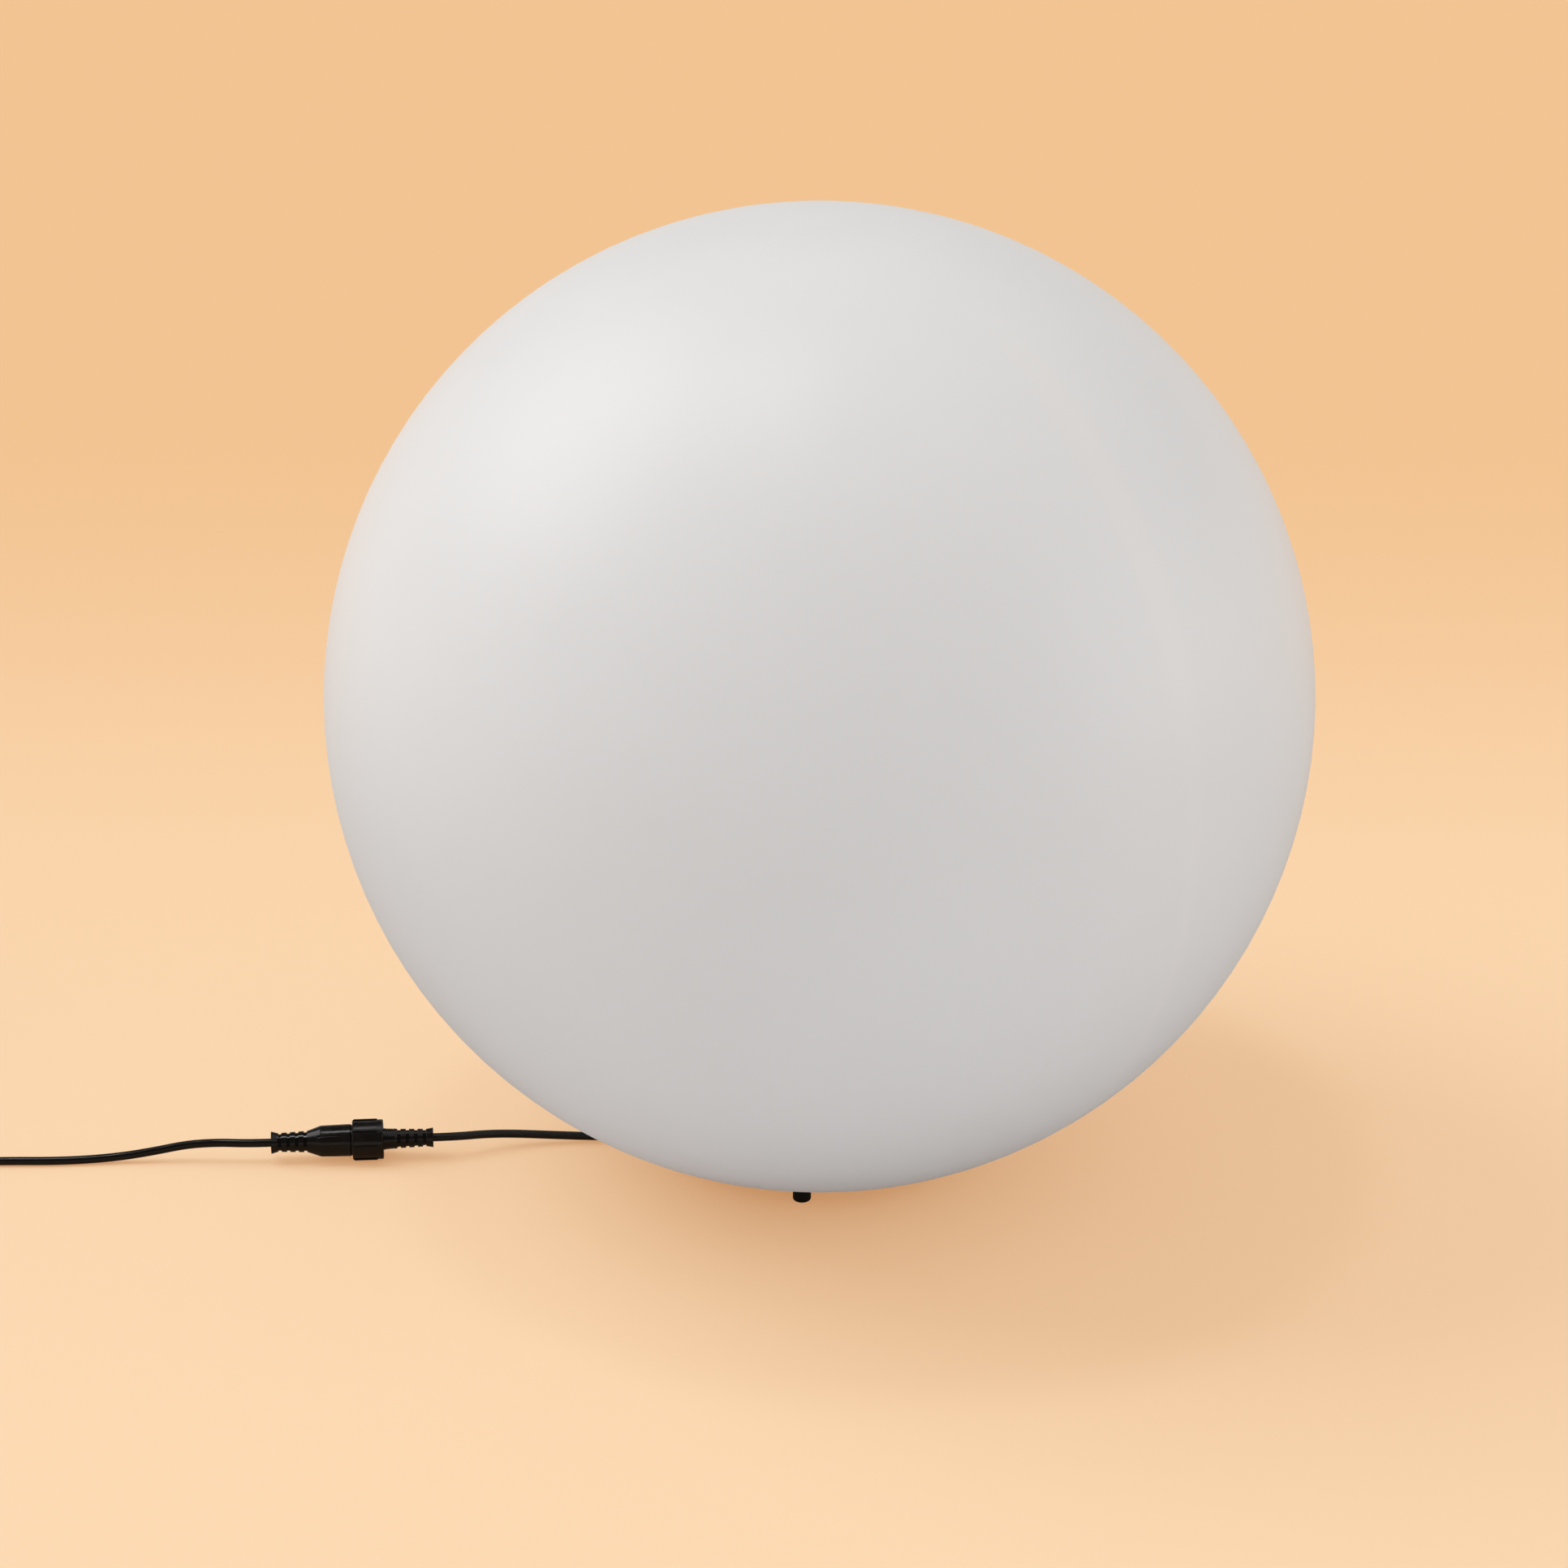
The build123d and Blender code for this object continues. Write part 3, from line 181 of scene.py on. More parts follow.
class Shades:
    """Node groups that several finishes share. Each is built once, on first use."""

    DRIFT_DETAIL = 4.0
    DRIFT_FINENESS = 0.55
    DRIFT_SPAN = (0.3, 0.7)  # of the noise, from the first tone to the second
    GRAIN_DETAIL = {"Grain": 2.0, "Wave": 1.0}
    DUST_TONE = (0.42, 0.38, 0.33)
    DUST_ROUGHNESS = 0.9
    DUST_FACING = (0.2, 1.0)  # Z of a surface's normal, from bare to dusty
    DUST_SCALE = 260.0  # lumps in a metre
    DUST_DETAIL = 6.0
    DUST_SPAN = (0.45, 0.8)  # of the noise, from bare to dusty

    @staticmethod
    def _begun(
        name: str, given: dict[str, str], out: dict[str, str]
    ) -> tuple[bpy.types.NodeTree, bpy.types.Node, bpy.types.Node]:
        """A group that has only its sockets.

        Args:
            name: The group's name.
            given: Each input's name and kind.
            out: Each output's name and kind.

        Returns:
            The group, its input node and its output node.
        """
        tree = bpy.data.node_groups.new(name, "ShaderNodeTree")
        for side, sockets in [("INPUT", given), ("OUTPUT", out)]:
            for label, kind in sockets.items():
                tree.interface.new_socket(name=label, in_out=side, socket_type=f"NodeSocket{kind}")
        return tree, tree.nodes.new("NodeGroupInput"), tree.nodes.new("NodeGroupOutput")

    @staticmethod
    @cache
    def drift() -> bpy.types.NodeTree:
        """Slow drift between two colours and two roughnesses, from soft noise.

        Returns:
            The group.
        """
        tree, given, out = Shades._begun(
            "drift",
            {
                "Colour A": "Color", "Colour B": "Color", "Rough A": "Float", "Rough B": "Float",
                "Scale": "Float",
            },
            {"Colour": "Color", "Roughness": "Float"},
        )
        n, link = tree.nodes, tree.links.new
        place, noise = n.new("ShaderNodeTexCoord"), n.new("ShaderNodeTexNoise")
        noise.inputs["Detail"].default_value = Shades.DRIFT_DETAIL
        noise.inputs["Roughness"].default_value = Shades.DRIFT_FINENESS
        ramp = n.new("ShaderNodeMapRange")
        map_from(ramp, Shades.DRIFT_SPAN)
        colour, rough = n.new("ShaderNodeMix"), n.new("ShaderNodeMix")
        colour.data_type = "RGBA"
        link(place.outputs["Object"], noise.inputs["Vector"])
        link(given.outputs["Scale"], noise.inputs["Scale"])
        link(noise.outputs["Fac"], ramp.inputs["Value"])
        for mix, kind, label in [(colour, "Colour", "Colour"), (rough, "Rough", "Roughness")]:
            link(ramp.outputs["Result"], mix.inputs["Factor"])
            link(given.outputs[f"{kind} A"], mix.inputs["A"])
            link(given.outputs[f"{kind} B"], mix.inputs["B"])
            link(mix.outputs["Result"], out.inputs[label])
        return tree

    @staticmethod
    @cache
    def grain() -> bpy.types.NodeTree:
        """A moulded skin's normal: fine grain over long, shallow waves.

        Returns:
            The group.
        """
        tree, given, out = Shades._begun(
            "grain",
            {
                "Grain Scale": "Float", "Grain Depth": "Float", "Wave Scale": "Float",
                "Wave Depth": "Float",
            },
            {"Normal": "Vector"},
        )
        n, link = tree.nodes, tree.links.new
        place, total = n.new("ShaderNodeTexCoord"), n.new("ShaderNodeMath")
        for number, (kind, detail) in enumerate(Shades.GRAIN_DETAIL.items()):
            noise, height = n.new("ShaderNodeTexNoise"), n.new("ShaderNodeMath")
            noise.inputs["Detail"].default_value = detail
            height.operation = "MULTIPLY"
            link(place.outputs["Object"], noise.inputs["Vector"])
            link(given.outputs[f"{kind} Scale"], noise.inputs["Scale"])
            link(noise.outputs["Fac"], height.inputs[0])
            link(given.outputs[f"{kind} Depth"], height.inputs[1])
            link(height.outputs[0], total.inputs[number])
        bump = n.new("ShaderNodeBump")
        bump.inputs["Distance"].default_value = 1.0  # so that a depth is in metres
        link(total.outputs[0], bump.inputs["Height"])
        link(bump.outputs["Normal"], out.inputs["Normal"])
        return tree

    @staticmethod
    @cache
    def dust() -> bpy.types.NodeTree:
        """Settled dust: a colour and a roughness that take over where a surface faces up.

        Returns:
            The group.
        """
        tree, given, out = Shades._begun(
            "dust",
            {"Colour": "Color", "Roughness": "Float", "Amount": "Float"},
            {"Colour": "Color", "Roughness": "Float"},
        )
        n, link = tree.nodes, tree.links.new
        place, noise = n.new("ShaderNodeTexCoord"), n.new("ShaderNodeTexNoise")
        noise.inputs["Scale"].default_value = Shades.DUST_SCALE
        noise.inputs["Detail"].default_value = Shades.DUST_DETAIL
        facing, split = n.new("ShaderNodeNewGeometry"), n.new("ShaderNodeSeparateXYZ")
        up, lumps = n.new("ShaderNodeMapRange"), n.new("ShaderNodeMapRange")
        map_from(up, Shades.DUST_FACING)
        map_from(lumps, Shades.DUST_SPAN)
        mask, share = n.new("ShaderNodeMath"), n.new("ShaderNodeMath")
        mask.operation = share.operation = "MULTIPLY"
        colour, rough = n.new("ShaderNodeMix"), n.new("ShaderNodeMix")
        colour.data_type = "RGBA"
        colour.inputs["B"].default_value = rgba(Shades.DUST_TONE)
        rough.inputs["B"].default_value = Shades.DUST_ROUGHNESS
        link(facing.outputs["Normal"], split.inputs[0])
        link(split.outputs["Z"], up.inputs["Value"])
        link(place.outputs["Object"], noise.inputs["Vector"])
        link(noise.outputs["Fac"], lumps.inputs["Value"])
        link(up.outputs["Result"], mask.inputs[0])
        link(lumps.outputs["Result"], mask.inputs[1])
        link(mask.outputs[0], share.inputs[0])
        link(given.outputs["Amount"], share.inputs[1])
        for mix, label in [(colour, "Colour"), (rough, "Roughness")]:
            link(share.outputs[0], mix.inputs["Factor"])
            link(given.outputs[label], mix.inputs["A"])
            link(mix.outputs["Result"], out.inputs[label])
        return tree

    @staticmethod
    @cache
    def specks() -> bpy.types.NodeTree:
        """A few small dark specks: a dot at the middle of each cell of a coarse pattern.

        Returns:
            The group.
        """
        tree, given, out = Shades._begun(
            "specks",
            {"Colour": "Color", "Speck": "Color", "Cell Scale": "Float", "Radius": "Float"},
            {"Colour": "Color"},
        )
        n, link = tree.nodes, tree.links.new
        place, cells = n.new("ShaderNodeTexCoord"), n.new("ShaderNodeTexVoronoi")
        near, colour = n.new("ShaderNodeMath"), n.new("ShaderNodeMix")
        near.operation = "LESS_THAN"
        colour.data_type = "RGBA"
        link(place.outputs["Object"], cells.inputs["Vector"])
        link(given.outputs["Cell Scale"], cells.inputs["Scale"])
        link(cells.outputs["Distance"], near.inputs[0])
        link(given.outputs["Radius"], near.inputs[1])
        link(near.outputs[0], colour.inputs["Factor"])
        link(given.outputs["Colour"], colour.inputs["A"])
        link(given.outputs["Speck"], colour.inputs["B"])
        link(colour.outputs["Result"], out.inputs["Colour"])
        return tree


def placed(tree: bpy.types.NodeTree, group: bpy.types.NodeTree, **values: object) -> bpy.types.Node:
    """A group in a material, with its inputs set.

    Args:
        tree: The material's nodes.
        group: The group to place.
        values: The inputs' values, by name, with an underscore for each space.

    Returns:
        The group's node.
    """
    node = tree.nodes.new("ShaderNodeGroup")
    node.node_tree = group
    for name, value in values.items():
        node.inputs[name.replace("_", " ")].default_value = value
    return node


# ---------------------------------------------------------------- finishes
@dataclass(frozen=True)
class Finish:
    """What every finish has: a colour and a roughness that drift. Its sizes are in metres."""

    name: str
    colour: Colour
    roughness: float
    rough_range: float = 0.08
    tone_range: float = 0.06
    drift_size: float = 0.03

    def begun(self) -> tuple[bpy.types.Material, bpy.types.Node, bpy.types.Node]:
        """The material before its nodes are joined.

        Returns:
            The material, its surface shader and its drifting tone.
        """
        material = bpy.data.materials.new(self.name)
        material.use_nodes = True
        drift = placed(
            material.node_tree,
            Shades.drift(),
            Colour_A=rgba(self.colour, 1 - self.tone_range),
            Colour_B=rgba(self.colour, 1 + self.tone_range),
            Rough_A=self.roughness - self.rough_range,
            Rough_B=self.roughness + self.rough_range,
            Scale=1 / self.drift_size,
        )
        return material, material.node_tree.nodes["Principled BSDF"], drift


@dataclass(frozen=True)
class Moulded(Finish):
    """A moulded plastic or rubber skin."""

    grain_size: float = 0.0006
    grain_depth: float = 0.00002
    wave_size: float = 0.03
    wave_depth: float = 0.0
    specular: float = 0.5
    scatter: float = 0.0
    scatter_tint: Colour = (1.0, 0.95, 0.9)
    scatter_depth: float = 0.006
    dust: float = 0.0  # share of it where it lies thickest
    speck_cell: float = 0.0  # each cell has one speck, and 0 stands for no specks
    speck_radius: float = 0.0004
    speck: Colour = (0.2, 0.18, 0.16)

    def build(self) -> bpy.types.Material:
        """The material: drifting colour and roughness, specks, dust and a grained normal.

        Returns:
            The material.
        """
        material, skin, drift = self.begun()
        tree = material.node_tree
        link = tree.links.new
        skin.inputs["Specular IOR Level"].default_value = self.specular
        skin.inputs["Subsurface Weight"].default_value = self.scatter
        skin.inputs["Subsurface Radius"].default_value = self.scatter_tint
        skin.inputs["Subsurface Scale"].default_value = self.scatter_depth
        colour, rough = drift.outputs["Colour"], drift.outputs["Roughness"]
        if self.speck_cell:
            specks = placed(
                tree,
                Shades.specks(),
                Speck=rgba(self.speck),
                Cell_Scale=1 / self.speck_cell,
                Radius=self.speck_radius / self.speck_cell,
            )
            link(colour, specks.inputs["Colour"])
            colour = specks.outputs["Colour"]
        if self.dust:
            dust = placed(tree, Shades.dust(), Amount=self.dust)
            link(colour, dust.inputs["Colour"])
            link(rough, dust.inputs["Roughness"])
            colour, rough = dust.outputs["Colour"], dust.outputs["Roughness"]
        grain = placed(
            tree,
            Shades.grain(),
            Grain_Scale=1 / self.grain_size,
            Grain_Depth=self.grain_depth,
            Wave_Scale=1 / self.wave_size,
            Wave_Depth=self.wave_depth,
        )
        link(colour, skin.inputs["Base Color"])
        link(rough, skin.inputs["Roughness"])
        link(grain.outputs["Normal"], skin.inputs["Normal"])
        return material


@dataclass(frozen=True)
class Metal(Finish):
    """A plated or plain metal with fine drawing marks."""

    tone_range: float = 0.05
    drift_size: float = 0.004
    mark_size: float = 0.0005
    mark_depth: float = 0.00001

    def build(self) -> bpy.types.Material:
        """The material: metallic, with drifting tone and a finely marked normal.

        Returns:
            The material.
        """
        material, skin, drift = self.begun()
        tree = material.node_tree
        skin.inputs["Metallic"].default_value = 1.0
        marks = placed(
            tree, Shades.grain(), Grain_Scale=1 / self.mark_size, Grain_Depth=self.mark_depth
        )
        tree.links.new(drift.outputs["Colour"], skin.inputs["Base Color"])
        tree.links.new(drift.outputs["Roughness"], skin.inputs["Roughness"])
        tree.links.new(marks.outputs["Normal"], skin.inputs["Normal"])
        return material


FINISHES = {
    Slot.GLOBE: Moulded(
        "opal_polyethylene", (0.842, 0.836, 0.831), 0.42, rough_range=0.04, tone_range=0.012,
        drift_size=0.12, grain_size=0.0009, grain_depth=0.000012, wave_size=0.06,
        wave_depth=0.0004, speck_cell=0.11, speck_radius=0.0005, speck=(0.35, 0.33, 0.31),
    ),
    Slot.TRAY: Moulded(
        "black_polypropylene", (0.022, 0.022, 0.023), 0.55, grain_size=0.0005, grain_depth=0.00004
    ),
    Slot.SEAL: Moulded("black_sealing_rubber", (0.018, 0.018, 0.018), 0.7),
    Slot.FOOT: Moulded(
        "black_foot_rubber", (0.006, 0.006, 0.006), 0.55, grain_size=0.0004, specular=0.2
    ),
    Slot.GLAND: Moulded("black_polyamide", (0.020, 0.020, 0.021), 0.4),
    Slot.LEAD: Moulded(
        "glossy_lead_jacket", (0.0042, 0.0026, 0.0015), 0.20, rough_range=0.05, tone_range=0.15,
        drift_size=0.012, grain_size=0.0014, grain_depth=0.00001, wave_size=0.010,
        wave_depth=0.00004, specular=0.42, dust=0.01,
    ),
    Slot.COUPLING: Moulded(
        "satin_overmould", (0.0042, 0.0026, 0.0015), 0.20, rough_range=0.05, tone_range=0.12,
        drift_size=0.008, grain_size=0.0004, grain_depth=0.000004, specular=0.42, dust=0.015,
    ),
    Slot.NUT: Moulded(
        "satin_moulded_nut", (0.0042, 0.0026, 0.0015), 0.20, rough_range=0.05, tone_range=0.12,
        drift_size=0.008, grain_size=0.0004, grain_depth=0.000004, specular=0.42, dust=0.015,
    ),
    Slot.HOLDER: Moulded("white_holder_plastic", (0.74, 0.73, 0.70), 0.4),
    Slot.CERAMIC: Moulded("steatite", (0.78, 0.76, 0.71), 0.55, grain_depth=0.00003),
    Slot.BROWN: Moulded("brown_insulation", (0.16, 0.06, 0.03), 0.35),
    Slot.BLUE: Moulded("blue_insulation", (0.03, 0.11, 0.42), 0.35),
    Slot.LAMP: Moulded("white_lamp_body", (0.80, 0.80, 0.79), 0.35),
    Slot.OPAL: Moulded("opal_lamp_dome", (0.86, 0.86, 0.85), 0.45, scatter=0.3),
    Slot.INSULATOR: Moulded("black_vitrite", (0.012, 0.012, 0.016), 0.15),
    Slot.CHIP: Moulded("yellow_phosphor", (0.82, 0.62, 0.12), 0.45),
    Slot.SUPPLY: Moulded(
        "black_case_plastic", (0.014, 0.014, 0.014), 0.42, grain_depth=0.00005, dust=0.015
    ),
    Slot.ZINC: Metal("zinc_plate", (0.62, 0.63, 0.64), 0.35),
    Slot.BRASS: Metal("bright_brass", (0.78, 0.58, 0.28), 0.28),
    Slot.NICKEL: Metal("nickel_plate", (0.74, 0.73, 0.70), 0.22),
    Slot.BOARD: Metal("coated_board", (0.82, 0.82, 0.82), 0.5),
}


class Wardrobe:
    """Builds each finish once and puts it on pieces."""

    def __init__(self) -> None:
        """Starts with no finish built."""
        self.made: dict[Slot, bpy.types.Material] = {}

    def dress(self, piece: bpy.types.Object, slot: Slot) -> None:
        """Gives a piece the finish of a slot.

        Args:
            piece: A CAD node, which keeps its material slots, or a piece of this script.
            slot: The slot.
        """
        if slot not in self.made:
            self.made[slot] = FINISHES[slot].build()
        material = self.made[slot]
        if piece.type == "MESH" and "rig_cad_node" in piece and piece.material_slots:
            for place in piece.material_slots:
                place.material = material
        else:
            piece.data.materials.clear()
            piece.data.materials.append(material)


def settle(piece: bpy.types.Object, body: str, slot: Slot, wardrobe: Wardrobe, *nodes: str) -> None:
    """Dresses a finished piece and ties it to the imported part.

    Args:
        piece: The piece.
        body: The body that it rides on.
        slot: Its material slot.
        wardrobe: Holds the finishes.
        nodes: The nodes that it stands for, if any.
    """
    wardrobe.dress(piece, slot)
    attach(piece, body)
    if nodes:
        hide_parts(*nodes)
    log.info("%s rides on %s in %s, for %s", piece.name, body, slot.value, ", ".join(nodes) or "itself")


# ---------------------------------------------------------------- leads
LEAD_DIAMETER = 3.5 * MM
GLAND_EXIT = (-0.03231, -0.00226, 0.0090)  # of the fixture's lead, out of the base
PLUG_EXIT = (-0.16115, -0.01878, 0.0083)  # its other end, in the coupling's plug half
COUPLING_END = (-0.22843, -0.02423, 0.0083)  # of the supply lead, in the socket half
COUPLING_AXIS = (Vector(PLUG_EXIT) - Vector(COUPLING_END)).normalized()
FIXTURE_ROUTE = [
    GLAND_EXIT,
    (-0.04423, -0.00309, 0.0021),
    (-0.0605, -0.0044, 0.0018),
    (-0.0775, -0.0054, 0.0019),
    (-0.0945, -0.0060, 0.0024),
    (-0.1115, -0.0069, 0.0034),
    (-0.1270, -0.0088, 0.0050),
    (-0.1395, -0.0124, 0.0067),
    (-0.1512, -0.01797, 0.0083),
    PLUG_EXIT,
]
SUPPLY_ROUTE = [
    COUPLING_END,
    (-0.2384, -0.02504, 0.0083),
    (-0.2500, -0.0248, 0.0086),
    (-0.2635, -0.0242, 0.0074),
    (-0.2770, -0.0251, 0.0047),
    (-0.2910, -0.0262, 0.0026),
    (-0.3060, -0.0280, 0.0019),
    (-0.3210, -0.0291, 0.0018),
    (-0.3360, -0.0293, 0.0019),
    (-0.3510, -0.0297, 0.0018),
    (-0.3660, -0.0296, 0.0019),
    (-0.3810, -0.0303, 0.0018),
    (-0.3960, -0.0298, 0.0019),
    (-0.4130, -0.03005, 0.0018),
]
TAIL_ROUTE = [
    (-0.45155, 0.0079, 0.01925),
    (-0.45155, 0.0185, 0.01885),
    (-0.45155, 0.0345, 0.0100),
    (-0.45155, 0.0485, 0.0100),
]


@dataclass(frozen=True)
class Coil:
    """The put-away length of the supply lead: layers of turns, each a lead apart."""

    centre: tuple[float, float] = (-0.427, -0.0055)
    mean_radius: float = 19.3 * MM
    wide: int = 4
    layers: int = 6
    last_part: float = 0.25  # of a turn, past the last whole one
    per_turn: int = 24
    shift_begins: float = math.radians(210)
    shift_arc: float = math.radians(90)
    bulge: float = 0.3  # leads, where a turn climbs to the next layer

    def points(self) -> np.ndarray:
        """The turns' control points.

        The angle runs clockwise from the camera's side. A turn keeps its radius and height except
        over the shift, where it steps one lead inwards or outwards on a smooth step, or climbs one
        lead at the end of a layer, bulging clear of its neighbours by half a sine. The radius is
        then divided by half a step's cosine, because the spline cuts inside its corners.

        Returns:
            (n, 3) places in metres.
        """
        d = LEAD_DIAMETER
        turn = np.arange(self.wide * self.layers)
        layer, place = turn // self.wide, turn % self.wide
        place = np.where(layer % 2 == 0, place, self.wide - 1 - place)
        radii = self.mean_radius + ((self.wide - 1) / 2 - place) * d
        heights = d / 2 + layer * d
        whole_turns = len(turn) - 1 + self.last_part
        travelled = np.arange(round(whole_turns * self.per_turn) + 1) * 2 * math.pi / self.per_turn
        passes = (travelled - self.shift_begins) / (2 * math.pi)
        before = np.floor(passes)
        part = np.clip((passes - before) * 2 * math.pi / self.shift_arc, 0, 1)
        station = before + smooth_step(part)
        climbing = np.isin(before, turn[self.wide - 1 : -1 : self.wide])
        outwards = np.where(before % (2 * self.wide) == self.wide - 1, -1, 1)
        radius = np.interp(station, turn, radii)
        radius = radius + climbing * outwards * self.bulge * d * np.sin(math.pi * part)
        radius = radius / math.cos(math.pi / self.per_turn)
        angle = -math.pi / 2 - travelled
        height = np.interp(station, turn, heights)
        flat = np.array(self.centre) + radius[:, None] * np.stack([np.cos(angle), np.sin(angle)], 1)
        return np.column_stack([flat, height])


@dataclass
class Leads:
    """The two free leads, as smooth cords on the routes of their solids."""

    wardrobe: Wardrobe
    coil: Coil = field(default_factory=Coil)

    def cord(self, name: str, points: np.ndarray, sides: int, steps: int) -> bpy.types.Object:
        """A round cord on a smooth spline.

        Args:
            name: The object's name.
            points: (n, 3) control points in metres.
            sides: Bevel resolution round the cord.
            steps: Steps from one control point to the next.

        Returns:
            The linked curve.
        """
        curve = bpy.data.curves.new(name, "CURVE")
        curve.dimensions = "3D"
        curve.bevel_depth = LEAD_DIAMETER / 2
        curve.bevel_resolution = sides
        curve.use_fill_caps = True
        spline = curve.splines.new("NURBS")
        spline.points.add(len(points) - 1)
        spline.points.foreach_set("co", np.column_stack([points, np.ones(len(points))]).ravel())
        spline.order_u = 3
        spline.use_endpoint_u = True
        spline.resolution_u = steps
        curve.resolution_u = curve.render_resolution_u = steps
        made = bpy.data.objects.new(name, curve)
        bpy.context.scene.collection.objects.link(made)
        return made

    def build(self) -> None:
        """Both leads, each tied to its body in place of the nodes that it stands for."""
        fixture = self.cord("fixture_lead_cord", np.array(FIXTURE_ROUTE), sides=6, steps=12)
        settle(fixture, "base", Slot.LEAD, self.wardrobe, "fixture_lead")
        route = np.vstack([SUPPLY_ROUTE, self.coil.points(), TAIL_ROUTE])
        supply = self.cord("supply_lead_cord", route, sides=4, steps=4)
        settle(supply, "supply", Slot.LEAD, self.wardrobe, "supply_lead", "supply_coil", "supply_tail")


@dataclass(frozen=True)
class CoilTie:
    """The rubber strap that holds the coil's turns together, its end lapped over its start."""

    coil: Coil
    azimuth: float = math.radians(-135)
    width: float = 7.0 * MM
    thickness: float = 0.7 * MM
    corner: float = 2.4 * MM
    crossing: float = 9.0  # how fast the line crosses each side of the coil
    lap: float = 0.22  # of the way round
    lap_begins: float = 0.97  # of the way round, where the end climbs on to the start
    lap_climb: float = 0.05
    end_taper: float = 0.012  # of the way round, where each end thins
    end_share: float = 0.02
    squareness: float = 0.3  # the power that makes an oval section nearly square
    steps: int = 160

    def line(self, way: np.ndarray) -> np.ndarray:
        """The strap's middle line in the coil's section, outwards from its middle circle and up.

        Each place is a corner of the rectangle that lies inside the turns by the corner's radius,
        or between two corners, plus that radius and half the strap in the way's own direction, and
        from the lap on a whole strap more. It stays half a strap, and then one and a half, above
        the floor.

        Args:
            way: Shares of the way round, from the floor up the outer side.

        Returns:
            (n, 2) places in metres.
        """
        half = np.array([self.coil.wide, self.coil.layers]) * LEAD_DIAMETER / 2
        turn = way * 2 * math.pi - math.pi / 2
        facing = np.stack([np.cos(turn), np.sin(turn)], 1)
        inner = np.sign(facing) * (half - self.corner)
        inner *= np.clip(np.abs(facing) * self.crossing, 0, 1)
        climb = np.clip((way - self.lap_begins) / self.lap_climb, 0, 1)
        reach = self.corner + self.thickness * (0.5 + smooth_step(climb))
        line = inner + facing * reach[:, None]
        line[:, 1] = np.maximum(line[:, 1] + half[1], self.thickness * (0.5 + climb))
        return line

    def build(self, wardrobe: Wardrobe) -> None:
        """The strap along its line. Its section thins at each end with the root of the way left.

        Args:
            wardrobe: Holds the finishes.
        """
        way = np.linspace(0, 1 + self.lap, self.steps)
        line = self.line(way)
        along = np.gradient(line, axis=0)
        along /= np.linalg.norm(along, axis=1)[:, None]
        radial = np.array([math.cos(self.azimuth), math.sin(self.azimuth), 0])
        backwards = np.array([radial[1], -radial[0], 0])
        up = np.array(UP)
        centre = np.array([*self.coil.centre, 0]) + radial * self.coil.mean_radius
        middles = centre + line[:, :1] * radial + line[:, 1:] * up
        outwards = along[:, 1:] * radial - along[:, :1] * up
        left = np.minimum(way, way[-1] - way) / self.end_taper
        thin = np.sqrt(np.clip(left, self.end_share, 1))[:, None, None]
        section = np.sign(oval(1, 1)) * np.abs(oval(1, 1)) ** self.squareness
        section = section * np.array([self.width / 2, self.thickness / 2])
        section = section * np.concatenate([np.ones_like(thin), thin], 2)
        across = np.broadcast_to(backwards, middles.shape)
        strap = swept("coil_tie", middles, across, outwards, section)
        settle(strap, "supply", Slot.SEAL, wardrobe)


# ---------------------------------------------------------------- threads
@dataclass(frozen=True)
class Ridge:
    """The profile of a screw ridge."""

    pitch: float
    height: float
    width: float


@dataclass(frozen=True)
class Thread:
    """A right-handed screw ridge on a round bar, or inside a round hole."""

    name: str
    body: str
    slot: Slot
    ridge: Ridge
    start: tuple[float, float, float]
    along: tuple[float, float, float]
    radius: float
    length: float
    phase: float = 0.0  # turns
    steps: int = 40  # in a turn
    run_out: float = 0.3  # turns, over which each end sinks away
    end_share: float = 0.02

    def build(self, wardrobe: Wardrobe) -> None:
        """The ridge: an oval, half sunk in its carrier, on a helix of one pitch a turn.

        Args:
            wardrobe: Holds the finishes.
        """
        turns = self.length / self.ridge.pitch
        travelled = np.linspace(0, turns, round(turns * self.steps))
        axis = Vector(self.along).normalized()
        side = axis.orthogonal().normalized()
        other = axis.cross(side)
        angle = (travelled + self.phase) * 2 * math.pi
        outwards = np.cos(angle)[:, None] * np.array(side) + np.sin(angle)[:, None] * np.array(other)
        across = np.broadcast_to(np.array(axis), outwards.shape)
        middles = np.array(self.start) + outwards * self.radius
        middles = middles + across * (travelled * self.ridge.pitch)[:, None]
        left = np.minimum(travelled, turns - travelled) / self.run_out
        fade = np.clip(left, self.end_share, 1)[:, None, None]
        section = oval(self.ridge.width / 2, self.ridge.height) * fade
        settle(swept(self.name, middles, across, outwards, section), self.body, self.slot, wardrobe)


